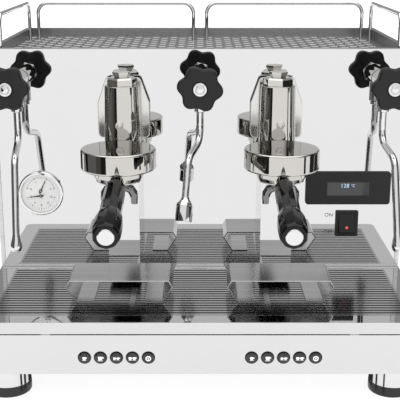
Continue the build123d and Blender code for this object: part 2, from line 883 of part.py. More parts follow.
with BuildPart() as tap_valves:
    with BuildSketch(facing(stem_tail)):
        with Locations(*[(x, tap_height) for x in tap_places.values()]):
            Circle(barrel_radius)
    extrude(amount=barrel_front - stem_tail)
    with BuildSketch(facing(barrel_front)):
        with Locations(*[(x, tap_height) for x in tap_places.values()]):
            RegularPolygon(packing_radius, 6)
    extrude(amount=packing_length)
    with BuildSketch(level(leg_foot)):
        with Locations(*[(x, y_at(wand_ahead)) for x in tap_places.values()]):
            Circle(leg_radius)
    extrude(amount=tap_height - leg_foot)
    with BuildSketch(facing(spindle_tail)):
        with Locations(*[(x, tap_height) for x in tap_places.values()]):
            Circle(spindle_radius + running_gap)
    extrude(amount=packing_front - spindle_tail, mode=Mode.SUBTRACT)
    with BuildSketch(level(leg_foot)):
        with Locations(*[(x, y_at(wand_ahead)) for x in tap_places.values()]):
            Circle(plug_radius + running_gap)
    extrude(amount=plug_height + fit_gap, mode=Mode.SUBTRACT)
write(tap_valves, "tap_valves")

# Knobs: six-lobed, with a hub behind and a chrome-headed spindle through the middle
lobe_count = 6
lobe_radius = 9.5
lobe_blend = 6.0
web_radius = 25.5
knob_thickness = 16.0
knob_edge = 2.0
hub_radius = 13.0
hub_length = 8.0
head_radius = 9.0
head_sink = 2.0
head_dome = 2.6
knob_turns = {"left": 30.0, "centre": 22.0, "right": 30.0}
knob_names = {"left": "left_steam", "centre": "hot_water", "right": "right_steam"}
knob_back = knob_face_ahead - knob_thickness

for place, x in tap_places.items():
    with BuildPart() as knob:
        with BuildSketch(facing(knob_back)) as outline:
            with Locations((x, tap_height)):
                Circle(web_radius)
                with PolarLocations(knob_radius - lobe_radius, lobe_count, start_angle=90 + knob_turns[place]):
                    Circle(lobe_radius)
            fillet(outline.vertices(), lobe_blend)
        extrude(amount=knob_thickness)
        fillet(knob.edges().group_by(Axis.Y)[0], knob_edge)
        with BuildSketch(facing(knob_back - hub_length)):
            with Locations((x, tap_height)):
                Circle(hub_radius)
        extrude(amount=hub_length)
        with BuildSketch(facing(knob_back - hub_length)):
            with Locations((x, tap_height)):
                Circle(spindle_radius + running_gap)
        extrude(amount=hub_length + knob_thickness, mode=Mode.SUBTRACT)
        with BuildSketch(facing(knob_face_ahead - head_sink)):
            with Locations((x, tap_height)):
                Circle(head_radius + fit_gap)
        extrude(amount=head_sink, mode=Mode.SUBTRACT)
    write(knob, f"{knob_names[place]}_knob")
    with BuildPart() as spindle:
        with BuildSketch(Plane(origin=(x, 0, tap_height), x_dir=(1, 0, 0), z_dir=(0, 0, 1))):
            with BuildLine():
                crown = TangentArc(
                    (0, y_at(knob_face_ahead + head_dome)), (head_radius, y_at(knob_face_ahead)), tangent=(1, 0)
                )
                Polyline(
                    crown @ 1,
                    (head_radius, y_at(knob_face_ahead - head_sink)),
                    (spindle_radius, y_at(knob_face_ahead - head_sink)),
                    (spindle_radius, y_at(spindle_tail + fit_gap)),
                    (0, y_at(spindle_tail + fit_gap)),
                    crown @ 0,
                )
            make_face()
        revolve(axis=Axis((x, 0, tap_height), (0, 1, 0)))
    write(spindle, f"{knob_names[place]}_spindle")

# Wands: bent tube from the swivel plug under each valve, out and down to a leaning leg that ends in
# a steam tip or a wide water nozzle
wand_upper = 47.5
jog_drop = 14.0
wand_bend = 14.0
collar_radius = 8.0
collar_height = 6.0
wand_turns = {"left": 5.0, "centre": -15.0, "right": 6.3}
wand_names = {"left": "left_steam_wand", "centre": "hot_water_wand", "right": "right_steam_wand"}
steam_leg = 125.0
tip_radius = 8.0
tip_edge = 3.5
tip_straight = 9.0
tip_length = 24.0
water_leg = 84.0
nozzle_radius = 12.0
nozzle_straight = 22.0
nozzle_length = 32.0
nozzle_bore = 10.0
nozzle_bore_depth = 12.0
wand_jog = leg_foot - wand_upper
elbow_height = wand_jog - jog_drop

for place, x in tap_places.items():
    turn = radians(wand_turns[place])
    lean = radians(wand_lean)
    steam = place != "centre"
    leg_length_down = steam_leg if steam else water_leg
    leg_end = (wand_throw + leg_length_down * sin(lean), elbow_height - leg_length_down * cos(lean))
    wand_plane = Plane(
        origin=(x, y_at(wand_ahead), 0), x_dir=(sin(turn), -cos(turn), 0), z_dir=(-cos(turn), -sin(turn), 0)
    )
    end_plane = Plane(
        origin=wand_plane.from_local_coords((*leg_end, 0)),
        x_dir=wand_plane.x_dir * cos(lean) + wand_plane.y_dir * sin(lean),
        z_dir=wand_plane.z_dir,
    )
    with BuildPart() as wand:
        with BuildLine(wand_plane) as wand_route:
            FilletPolyline(
                (0, leg_foot),
                (0, wand_jog),
                (wand_throw, elbow_height),
                (leg_end[0] - tip_edge * sin(lean), leg_end[1] + tip_edge * cos(lean)),
                radius=wand_bend,
            )
        with BuildSketch(Plane(origin=wand_route.line @ 0, z_dir=wand_route.line % 0)):
            Circle(wand_radius)
        sweep(path=wand_route.line)
        with BuildSketch(level(leg_foot - fit_gap - collar_height)):
            with Locations((x, y_at(wand_ahead))):
                Circle(collar_radius)
        extrude(amount=collar_height)
        with BuildSketch(level(leg_foot - fit_gap - collar_height)):
            with Locations((x, y_at(wand_ahead))):
                Circle(plug_radius)
        extrude(amount=collar_height + fit_gap + plug_height)
        with BuildSketch(end_plane):
            with BuildLine():
                if steam:
                    Polyline(
                        (0, 0),
                        (tip_radius - tip_edge, 0),
                        (tip_radius, tip_edge),
                        (tip_radius, tip_straight),
                        (wand_radius, tip_length),
                        (0, tip_length),
                        close=True,
                    )
                else:
                    Polyline(
                        (0, 0),
                        (nozzle_radius, 0),
                        (nozzle_radius, nozzle_straight),
                        (wand_radius, nozzle_length),
                        (0, nozzle_length),
                        close=True,
                    )
            make_face()
        revolve(axis=Axis(end_plane.origin, end_plane.y_dir))
        if not steam:
            with BuildSketch(Plane(origin=end_plane.origin, z_dir=end_plane.y_dir)):
                Circle(nozzle_bore)
            extrude(amount=nozzle_bore_depth, mode=Mode.SUBTRACT)
    write(wand, wand_names[place])

# Display: a black bezel on the splash panel with the screen let into its face
display_inset = 75.0
display_rise = 118.8
display_width = 124.6
display_tall = 49.3
display_depth = 4.0
display_corner = 4.5
display_edge = 1.0
screen_offset = 0.2
screen_drop = 0.9
screen_width = 61.8
screen_tall = 20.6
screen_sink = 1.5
screen_plate = 1.0
display_x = splash_half - display_inset
display_height = splash_foot + display_rise
screen_x = display_x + screen_offset
screen_height = display_height - screen_drop

with BuildPart() as display_bezel:
    with BuildSketch(facing(0)):
        with Locations((display_x, display_height)):
            RectangleRounded(display_width, display_tall, display_corner)
    extrude(amount=display_depth)
    fillet(display_bezel.edges().group_by(Axis.Y)[0], display_edge)
    with BuildSketch(facing(display_depth - screen_sink)):
        with Locations((screen_x, screen_height)):
            Rectangle(screen_width + 2 * running_gap, screen_tall + 2 * running_gap)
    extrude(amount=screen_sink, mode=Mode.SUBTRACT)
write(display_bezel, "display_bezel")

with BuildPart() as display_screen:
    with BuildSketch(facing(display_depth - screen_sink)):
        with Locations((screen_x, screen_height)):
            Rectangle(screen_width, screen_tall)
    extrude(amount=screen_plate)
write(display_screen, "display_screen")

# Rocker switch: frame with a neck through the splash panel, and a rocker that tips about a level pin
switch_depth = 3.0
switch_corner = 1.5
neck_length = 25.0
window_width = 24.0
window_tall = 30.0
rocker_gap = 0.5
rocker_tilt = 8.0
rocker_face = 5.5
rocker_body = 7.0
rocker_pin = 2.0
rocker_pivot_ahead = -1.0
rocker_tall = window_tall - 4 * rocker_gap

with BuildPart() as switch_frame:
    with BuildSketch(facing(0)):
        with Locations((switch_x, switch_height)):
            RectangleRounded(switch_width, switch_tall, switch_corner)
    extrude(amount=switch_depth)
    with BuildSketch(facing(-neck_length)):
        with Locations((switch_x, switch_height)):
            Rectangle(switch_neck_width, switch_neck_tall)
    extrude(amount=neck_length)
    with BuildSketch(facing(rocker_pivot_ahead - rocker_body - neck_length / 4)):
        with Locations((switch_x, switch_height)):
            Rectangle(window_width, window_tall)
    extrude(amount=neck_length + switch_depth, mode=Mode.SUBTRACT)
    with BuildSketch(Plane.YZ.offset(switch_x - switch_neck_width / 2)):
        with Locations((y_at(rocker_pivot_ahead), switch_height)):
            Circle(rocker_pin)
    extrude(amount=switch_neck_width)
write(switch_frame, "switch_frame")

rocker_plane = Plane(
    origin=(switch_x, y_at(rocker_pivot_ahead), switch_height), x_dir=(1, 0, 0), z_dir=(0, -1, 0)
).rotated((-rocker_tilt, 0, 0))

with BuildPart() as switch_rocker:
    with BuildSketch(rocker_plane.offset(-rocker_body / 2)):
        Rectangle(window_width - 2 * rocker_gap, rocker_tall)
    extrude(amount=rocker_body / 2 + rocker_face)
    with BuildSketch(Plane.YZ.offset(switch_x - window_width / 2)):
        with Locations((y_at(rocker_pivot_ahead), switch_height)):
            Circle(rocker_pin + running_gap)
    extrude(amount=window_width, mode=Mode.SUBTRACT)
write(switch_rocker, "switch_rocker")

# Dial gauge: case with a polished bezel, dial with two pins, and a needle on each pin
gauge_depth = 5.0
gauge_lip = 4.2
gauge_edge = 2.0
gauge_can_length = 30.0
dial_ahead = 0.5
dial_thickness = 1.0
pin_radius = 0.8
pin_drop = 3.7
hub_size = 2.4
needle_thickness = 0.7
needle_gap = 0.4
needle_length = 17.0
needle_tail = 4.0
needle_half = 0.6
gauge_opening = gauge_radius - gauge_lip
dial_face = dial_ahead + dial_thickness

with BuildPart() as gauge_case:
    with BuildSketch(facing(0)):
        with Locations((gauge_x, gauge_height)):
            Circle(gauge_radius)
    extrude(amount=gauge_depth)
    fillet(gauge_case.edges().group_by(Axis.Y)[0], gauge_edge)
    with BuildSketch(facing(-gauge_can_length)):
        with Locations((gauge_x, gauge_height)):
            Circle(gauge_can_radius)
    extrude(amount=gauge_can_length)
    with BuildSketch(facing(dial_ahead)):
        with Locations((gauge_x, gauge_height)):
            Circle(gauge_opening)
    extrude(amount=gauge_depth, mode=Mode.SUBTRACT)
write(gauge_case, "gauge_case")

needles = {
    "boiler_needle": (pin_drop, needle_gap, -25.0),
    "pump_needle": (-pin_drop, 2 * needle_gap + needle_thickness, 97.0),
}

with BuildPart() as gauge_dial:
    with BuildSketch(facing(dial_ahead)):
        with Locations((gauge_x, gauge_height)):
            Circle(gauge_opening - running_gap)
    extrude(amount=dial_thickness)
    for drop, lift, bearing in needles.values():
        with BuildSketch(facing(dial_face)):
            with Locations((gauge_x, gauge_height + drop)):
                Circle(pin_radius)
        extrude(amount=lift + needle_thickness)
write(gauge_dial, "gauge_dial")

for name, (drop, lift, bearing) in needles.items():
    with BuildPart() as needle:
        needle_plane = Plane(
            origin=(gauge_x, y_at(dial_face + lift), gauge_height + drop),
            x_dir=(cos(radians(bearing)), 0, sin(radians(bearing))),
            z_dir=(0, -1, 0),
        )
        with BuildSketch(needle_plane):
            Circle(hub_size)
            with BuildLine():
                Polyline(
                    (-needle_half * 2, -needle_tail),
                    (needle_half * 2, -needle_tail),
                    (needle_half / 2, needle_length),
                    (-needle_half / 2, needle_length),
                    close=True,
                )
            make_face()
            Circle(pin_radius + running_gap, mode=Mode.SUBTRACT)
        extrude(amount=needle_thickness)
    write(needle, name)

# Boiler: lying across the cabinet on two saddles, with pipe bosses and a heater flange at one end
boiler_end_gap = 23.5
boiler_radius = 66.0
boiler_edge = 18.0
saddle_inset = 85.0
saddle_thickness = 3.0
saddle_depth = 90.0
boiler_wall = 2.0
boss_outer = 9.0
boss_reach = 70.0
heater_radius = 40.0
heater_thickness = 8.0
pump_port_x = 70.0
port_length = 6.0
boiler_half = cabinet_half - boiler_end_gap
saddle_x = boiler_half - saddle_inset
boss_front = boiler_ahead + boss_reach
floor_top = base_height + sheet
pipe_places = [*tap_places.values(), -group_x, group_x]

with BuildPart() as boiler:
    with BuildSketch(Plane.YZ.offset(-boiler_half)):
        with Locations((y_at(boiler_ahead), group_boss_height)):
            Circle(boiler_radius)
    extrude(amount=2 * boiler_half)
    fillet(boiler.edges().filter_by(GeomType.CIRCLE), boiler_edge)
    with BuildSketch(Plane.YZ.offset(boiler_half)):
        with Locations((y_at(boiler_ahead), group_boss_height)):
            Circle(heater_radius)
    extrude(amount=heater_thickness)
    with BuildSketch(level(floor_top)):
        with Locations(*[(sign * saddle_x, y_at(boiler_ahead)) for sign in sides.values()]):
            Rectangle(saddle_thickness, saddle_depth)
    extrude(amount=group_boss_height - boiler_radius / 2 - floor_top)
    with BuildSketch(facing(boiler_ahead)):
        with Locations(*[(x, group_boss_height) for x in pipe_places]):
            Circle(boss_outer)
    extrude(amount=boss_front - boiler_ahead)
    with BuildSketch(level(group_boss_height - boiler_radius - port_length)):
        with Locations((pump_port_x, y_at(boiler_ahead))):
            Circle(boss_outer)
    extrude(amount=boiler_radius)
    with BuildSketch(Plane.YZ.offset(boiler_wall - boiler_half)):
        with Locations((y_at(boiler_ahead), group_boss_height)):
            Circle(boiler_radius - boiler_edge)
    extrude(amount=2 * (boiler_half - boiler_wall), mode=Mode.SUBTRACT)
    with BuildSketch(Plane.YZ.offset(boiler_edge - boiler_half)):
        with Locations((y_at(boiler_ahead), group_boss_height)):
            Circle(boiler_radius - boiler_wall)
    extrude(amount=2 * (boiler_half - boiler_edge), mode=Mode.SUBTRACT)
write(boiler, "boiler")

# Pump and motor on a foot under the boiler
motor_radius = 50.0
motor_start = -110.0
motor_length = 150.0
pump_radius = 32.0
pump_length = 60.0
motor_rise = 60.5
foot_width = 70.0
foot_length = 110.0
motor_axis = floor_top + motor_rise
motor_end = motor_start + motor_length

with BuildPart() as pump_motor:
    with BuildSketch(Plane.YZ.offset(motor_start)):
        with Locations((y_at(boiler_ahead), motor_axis)):
            Circle(motor_radius)
    extrude(amount=motor_length)
    with BuildSketch(Plane.YZ.offset(motor_end)):
        with Locations((y_at(boiler_ahead), motor_axis)):
            Circle(pump_radius)
    extrude(amount=pump_length)
    with BuildSketch(level(floor_top)):
        with Locations((motor_start + motor_length / 2, y_at(boiler_ahead))):
            Rectangle(foot_length, foot_width)
    extrude(amount=motor_axis - floor_top)
    with BuildSketch(level(motor_axis)):
        with Locations((pump_port_x, y_at(boiler_ahead))):
            Circle(boss_outer)
    extrude(amount=pump_radius + port_length)
    with BuildSketch(facing(boiler_ahead - pump_radius - port_length)):
        with Locations((service_spacing, motor_axis)):
            Circle(boss_outer)
    extrude(amount=pump_radius + port_length)
write(pump_motor, "pump_motor")

# Service fittings through the floor: water inlet, cable gland and drain outlet
fitting_drop = 24.0
fitting_rise = 8.0
fitting_flange = 12.0
flange_height = 5.0
inlet_radius = 8.3
gland_radius = 7.5
gland_bore = 4.0
drain_radius = 8.0
drain_bore = 6.0
inlet_bore = 4.0
fitting_foot = base_height - fitting_drop
fitting_head = base_height + fitting_rise
fitting_sizes = [(drain_radius, drain_bore), (gland_radius, gland_bore), (inlet_radius, inlet_bore)]

with BuildPart() as service_fittings:
    for spot, (outer, bore) in zip(service_places, fitting_sizes):
        with BuildSketch(level(fitting_foot)):
            with Locations(spot):
                Circle(outer)
        extrude(amount=fitting_head - fitting_foot)
        with BuildSketch(level(base_height - flange_height)):
            with Locations(spot):
                RegularPolygon(fitting_flange, 6)
        extrude(amount=flange_height)
        with BuildSketch(level(fitting_foot)):
            with Locations(spot):
                Circle(bore)
        extrude(amount=fitting_head - fitting_foot, mode=Mode.SUBTRACT)
write(service_fittings, "service_fittings")

# Pipework: from the boiler to the three valves and two groups, and from the inlet through the pump
pipe_radius = 5.0
pipe_bend = 9.0
pipe_drop_ahead = -32.0

with BuildPart() as pipework:
    for x in tap_places.values():
        with BuildLine(Plane.YZ.offset(x)) as valve_route:
            FilletPolyline(
                (y_at(stem_tail), tap_height),
                (y_at(pipe_drop_ahead), tap_height),
                (y_at(pipe_drop_ahead), group_boss_height),
                (y_at(boss_front), group_boss_height),
                radius=pipe_bend,
            )
        with BuildSketch(Plane(origin=valve_route.line @ 0, z_dir=valve_route.line % 0)):
            Circle(pipe_radius)
        sweep(path=valve_route.line)
    with BuildSketch(facing(boss_front)):
        with Locations(*[(sign * group_x, group_boss_height) for sign in sides.values()]):
            Circle(pipe_radius)
    extrude(amount=stem_tail - boss_front)
    with BuildSketch(level(motor_axis + pump_radius + port_length)):
        with Locations((pump_port_x, y_at(boiler_ahead))):
            Circle(pipe_radius)
    extrude(amount=group_boss_height - boiler_radius - motor_axis - pump_radius - 2 * port_length)
    with BuildLine(Plane.YZ.offset(service_spacing)) as inlet_route:
        FilletPolyline(
            (y_at(service_ahead), fitting_head),
            (y_at(service_ahead), motor_axis),
            (y_at(boiler_ahead - pump_radius - port_length), motor_axis),
            radius=pipe_bend,
        )
    with BuildSketch(Plane(origin=inlet_route.line @ 0, z_dir=inlet_route.line % 0)):
        Circle(pipe_radius)
    sweep(path=inlet_route.line)
write(pipework, "pipework")

# Control box on the cabinet floor
box_width = 78.0
box_depth = 50.0
box_tall = 110.0
box_inset = 48.5
box_ahead = -60.0
box_edge = 3.0
box_x = cabinet_half - box_inset

with BuildPart() as control_box:
    with BuildSketch(level(floor_top)):
        with Locations((box_x, y_at(box_ahead))):
            Rectangle(box_width, box_depth)
    extrude(amount=box_tall)
    fillet(control_box.edges().filter_by(Axis.Z), box_edge)
write(control_box, "control_box")
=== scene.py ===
from math import cos, pi, radians, sin, tan

import bmesh
import bpy
from mathutils import Matrix, Vector


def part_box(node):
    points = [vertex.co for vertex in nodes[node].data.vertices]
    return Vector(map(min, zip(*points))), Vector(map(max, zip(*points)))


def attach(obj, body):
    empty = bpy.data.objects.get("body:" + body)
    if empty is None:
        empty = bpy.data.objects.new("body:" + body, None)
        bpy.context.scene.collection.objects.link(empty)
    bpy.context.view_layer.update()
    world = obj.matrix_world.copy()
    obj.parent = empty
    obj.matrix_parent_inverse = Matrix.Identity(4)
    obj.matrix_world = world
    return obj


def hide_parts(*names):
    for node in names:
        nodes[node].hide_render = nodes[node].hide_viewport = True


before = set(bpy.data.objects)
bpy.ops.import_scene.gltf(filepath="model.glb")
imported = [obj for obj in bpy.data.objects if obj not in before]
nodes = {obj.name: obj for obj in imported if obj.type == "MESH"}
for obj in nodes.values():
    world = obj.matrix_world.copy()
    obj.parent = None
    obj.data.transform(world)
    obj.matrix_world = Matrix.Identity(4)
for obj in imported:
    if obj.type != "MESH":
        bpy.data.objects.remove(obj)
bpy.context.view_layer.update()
mm = 0.001
upward, forward = Vector((0, 0, 1)), Vector((0, -1, 0))
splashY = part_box("splash_panel")[0][1]  # front face of the polished panel, the datum for all depths
sides = {"left": -1, "right": 1}
print("frame loaded:", len(nodes), "nodes")


def place(x, ahead, z):
    return Vector((x * mm, splashY - ahead * mm, z * mm))


# small shader helpers
def newNode(tree, kind, **settings):
    node = tree.nodes.new(kind)
    for key, value in settings.items():
        setattr(node, key, value)
    return node


def feed(tree, socket, value):
    # another node's output is linked to the socket, anything else is set on it
    if isinstance(value, bpy.types.NodeSocket):
        tree.links.new(value, socket)
    else:
        socket.default_value = value


def startGroup(name, inputs, outputs):
    group = bpy.data.node_groups.new(name, "ShaderNodeTree")
    for label, kind, value in inputs:
        group.interface.new_socket(name=label, in_out="INPUT", socket_type=kind).default_value = value
    for label, kind in outputs:
        group.interface.new_socket(name=label, in_out="OUTPUT", socket_type=kind)
    return group, newNode(group, "NodeGroupInput").outputs, newNode(group, "NodeGroupOutput").inputs


def mathNode(tree, operation, *values, clamp=False):
    node = newNode(tree, "ShaderNodeMath", operation=operation, use_clamp=clamp)
    for socket, value in zip(node.inputs, values):
        feed(tree, socket, value)
    return node.outputs[0]


def vectorNode(tree, operation, *values):
    node = newNode(tree, "ShaderNodeVectorMath", operation=operation)
    for socket, value in zip(node.inputs, values):
        feed(tree, socket, value)
    return node


def noiseNode(tree, vector, scale, detail=3.0, roughness=0.55):
    node = newNode(tree, "ShaderNodeTexNoise")
    for label, value in (("Vector", vector), ("Scale", scale), ("Detail", detail), ("Roughness", roughness)):
        feed(tree, node.inputs[label], value)
    return node.outputs["Fac"]


def rangeNode(tree, value, low, high, newLow=0.0, newHigh=1.0):
    node = newNode(tree, "ShaderNodeMapRange")
    for label, given in (("Value", value), ("From Min", low), ("From Max", high),
                         ("To Min", newLow), ("To Max", newHigh)):
        feed(tree, node.inputs[label], given)
    return node.outputs["Result"]


def mixNode(tree, kind, factor, first, second):
    node = newNode(tree, "ShaderNodeMix", data_type=kind)
    for label, value in (("Factor", factor), ("A", first), ("B", second)):
        feed(tree, node.inputs[label], value)
    return node.outputs["Result"]


def objectCoords(tree):
    return newNode(tree, "ShaderNodeTexCoord").outputs["Object"]


# numbers of the shared groups: noise scales, the noise values where a mask begins and ends, shares
brushed = {"fineScale": 1.0, "broadScale": 0.11, "fineShare": 0.6, "broadShare": 0.4, "tone": (0.32, 0.68)}
marked = {"wipeGrain": (9.0, 9.0, 60.0), "wipeScale": 1.0, "patches": (0.45, 0.75)}
moulded = {"cloudScale": 30.0, "cloud": (0.4, 0.75), "dustShare": 0.6}
rubbed = {"samples": 4, "facing": (0.995, 0.9)}
middleNoise = 0.5


def makeBrushedLines():
    # long fine scratches: noise squeezed across the grain and stretched along it
    group, given, made = startGroup(
        "brushedLines",
        [("Grain", "NodeSocketVector", (2.0, 400.0, 400.0)), ("Base Roughness", "NodeSocketFloat", 0.3),
         ("Spread", "NodeSocketFloat", 0.12), ("Dark", "NodeSocketColor", (0.3, 0.3, 0.3, 1)),
         ("Light", "NodeSocketColor", (0.6, 0.6, 0.6, 1))],
        [("Color", "NodeSocketColor"), ("Roughness", "NodeSocketFloat"), ("Height", "NodeSocketFloat")],
    )
    stretched = vectorNode(group, "MULTIPLY", objectCoords(group), given["Grain"]).outputs[0]
    fine = noiseNode(group, stretched, brushed["fineScale"], detail=4.0, roughness=0.7)
    broad = noiseNode(group, stretched, brushed["broadScale"], detail=2.0)
    both = mathNode(group, "ADD", mathNode(group, "MULTIPLY", fine, brushed["fineShare"]),
                    mathNode(group, "MULTIPLY", broad, brushed["broadShare"]))
    tone = rangeNode(group, both, *brushed["tone"])
    feed(group, made["Color"], mixNode(group, "RGBA", tone, given["Dark"], given["Light"]))
    spread = mathNode(group, "MULTIPLY", mathNode(group, "SUBTRACT", both, middleNoise), given["Spread"])
    feed(group, made["Roughness"], mathNode(group, "ADD", given["Base Roughness"], spread, clamp=True))
    feed(group, made["Height"], fine)
    return group


def makeHandlingMarks():
    # faint wiping marks and prints that dull a polished face in patches
    group, given, made = startGroup(
        "handlingMarks",
        [("Size", "NodeSocketFloat", 14.0), ("Clean Roughness", "NodeSocketFloat", 0.02),
         ("Mark Roughness", "NodeSocketFloat", 0.07), ("Amount", "NodeSocketFloat", 0.5)],
        [("Mask", "NodeSocketFloat"), ("Roughness", "NodeSocketFloat")],
    )
    coords = objectCoords(group)
    patches = noiseNode(group, coords, given["Size"], detail=5.0, roughness=0.6)
    wipes = vectorNode(group, "MULTIPLY", coords, marked["wipeGrain"]).outputs[0]
    streaks = noiseNode(group, wipes, marked["wipeScale"], detail=2.0)
    mask = mathNode(group, "MULTIPLY", rangeNode(group, patches, *marked["patches"]), streaks)
    mask = mathNode(group, "MULTIPLY", mask, given["Amount"], clamp=True)
    feed(group, made["Mask"], mask)
    rough = rangeNode(group, mask, 0.0, 1.0, given["Clean Roughness"], given["Mark Roughness"])
    feed(group, made["Roughness"], rough)
    return group


def makeMouldedSkin():
    # fine spark-eroded texture of moulded plastic and rubber
    group, given, made = startGroup(
        "mouldedSkin",
        [("Size", "NodeSocketFloat", 900.0), ("Base", "NodeSocketColor", (0.03, 0.03, 0.03, 1)),
         ("Dusty", "NodeSocketColor", (0.06, 0.06, 0.06, 1)), ("Base Roughness", "NodeSocketFloat", 0.5),
         ("Spread", "NodeSocketFloat", 0.1)],
        [("Color", "NodeSocketColor"), ("Roughness", "NodeSocketFloat"), ("Height", "NodeSocketFloat")],
    )
    coords = objectCoords(group)
    grain = noiseNode(group, coords, given["Size"], detail=2.0)
    cloud = noiseNode(group, coords, moulded["cloudScale"], detail=4.0)
    cloud = rangeNode(group, cloud, *moulded["cloud"], 0.0, moulded["dustShare"])
    dust = mathNode(group, "MULTIPLY", cloud, grain)
    feed(group, made["Color"], mixNode(group, "RGBA", dust, given["Base"], given["Dusty"]))
    spread = mathNode(group, "MULTIPLY", mathNode(group, "SUBTRACT", grain, middleNoise), given["Spread"])
    feed(group, made["Roughness"], mathNode(group, "ADD", given["Base Roughness"], spread, clamp=True))
    feed(group, made["Height"], grain)
    return group


def makeEdgeRub():
    # bright line where handling rubs a corner: the rounded normal leaves the true one there
    group, given, made = startGroup(
        "edgeRub",
        [("Width", "NodeSocketFloat", 0.0006), ("Color", "NodeSocketColor", (0.03, 0.03, 0.03, 1)),
         ("Rubbed", "NodeSocketColor", (0.1, 0.1, 0.1, 1)), ("Strength", "NodeSocketFloat", 0.6)],
        [("Color", "NodeSocketColor"), ("Normal", "NodeSocketVector")],
    )
    rounded = newNode(group, "ShaderNodeBevel", samples=rubbed["samples"])
    feed(group, rounded.inputs["Radius"], given["Width"])
    surface = newNode(group, "ShaderNodeNewGeometry")
    facing = vectorNode(group, "DOT_PRODUCT", rounded.outputs[0], surface.outputs["Normal"])
    mask = rangeNode(group, facing.outputs["Value"], *rubbed["facing"])
    mask = mathNode(group, "MULTIPLY", mask, given["Strength"], clamp=True)
    feed(group, made["Color"], mixNode(group, "RGBA", mask, given["Color"], given["Rubbed"]))
    feed(group, made["Normal"], rounded.outputs[0])
    return group


brushedLines = makeBrushedLines()
handlingMarks = makeHandlingMarks()
mouldedSkin = makeMouldedSkin()
edgeRub = makeEdgeRub()
bumpHeight = 0.0001
markedTone = 0.93


def startMaterial(name, color, roughness=0.4, metallic=0.0):
    material = bpy.data.materials.new(name)
    material.use_nodes = True
    tree = material.node_tree
    shader = tree.nodes["Principled BSDF"].inputs
    shader["Base Color"].default_value = (*color, 1)
    shader["Roughness"].default_value = roughness
    shader["Metallic"].default_value = metallic
    return material, tree, shader


def useGroup(tree, group, **values):
    node = newNode(tree, "ShaderNodeGroup", node_tree=group)
    for label, value in values.items():
        feed(tree, node.inputs[label.replace("_", " ")], value)
    return node.outputs


def bumpFrom(tree, shader, height, strength, normal=None):
    bump = newNode(tree, "ShaderNodeBump")
    for label, value in (("Strength", strength), ("Distance", bumpHeight), ("Height", height)):
        feed(tree, bump.inputs[label], value)
    if normal is not None:
        feed(tree, bump.inputs["Normal"], normal)
    feed(tree, shader["Normal"], bump.outputs[0])


def polishedMetal(name, color, clean, dulled, size, amount=0.5, edge=0.0005):
    material, tree, shader = startMaterial(name, color, metallic=1.0)
    marks = useGroup(
        tree, handlingMarks, Size=size, Clean_Roughness=clean, Mark_Roughness=dulled, Amount=amount
    )
    feed(tree, shader["Roughness"], marks["Roughness"])
    darker = [channel * markedTone for channel in color]
    feed(tree, shader["Base Color"], mixNode(tree, "RGBA", marks["Mask"], (*color, 1), (*darker, 1)))
    if edge:
        feed(tree, shader["Normal"], useGroup(tree, edgeRub, Width=edge)["Normal"])
    return material


def brushedMetal(name, dark, light, rough, spread, grain, bump=0.15, edge=0.0004):
    material, tree, shader = startMaterial(name, light, metallic=1.0)
    lines = useGroup(
        tree, brushedLines, Grain=grain, Base_Roughness=rough, Spread=spread,
        Dark=(*dark, 1), Light=(*light, 1),
    )
    feed(tree, shader["Base Color"], lines["Color"])
    feed(tree, shader["Roughness"], lines["Roughness"])
    normal = useGroup(tree, edgeRub, Width=edge)["Normal"] if edge else None
    bumpFrom(tree, shader, lines["Height"], bump, normal)
    return material


def mouldedPlastic(name, base, dusty, rough, spread=0.1, size=900.0, bump=0.1, edge=0.0007):
    material, tree, shader = startMaterial(name, base, rough)
    skin = useGroup(
        tree, mouldedSkin, Size=size, Base=(*base, 1), Dusty=(*dusty, 1), Base_Roughness=rough, Spread=spread
    )
    rub = useGroup(tree, edgeRub, Width=edge, Color=skin["Color"], Rubbed=(*dusty, 1))
    feed(tree, shader["Base Color"], rub["Color"])
    feed(tree, shader["Roughness"], skin["Roughness"])
    bumpFrom(tree, shader, skin["Height"], bump, rub["Normal"])
    return material


def printed(name, base, dusty, rough):
    return mouldedPlastic(name, base, dusty, rough, bump=0.0, edge=0.0001)


def shinier(material, level):
    material.node_tree.nodes["Principled BSDF"].inputs["Specular IOR Level"].default_value = level
    return material


def glowing(material, strength, color=(1, 1, 1)):
    shader = material.node_tree.nodes["Principled BSDF"].inputs
    shader["Emission Color"].default_value = (*color, 1)
    shader["Emission Strength"].default_value = strength
    return material


def grey(level):
    return level, level, level


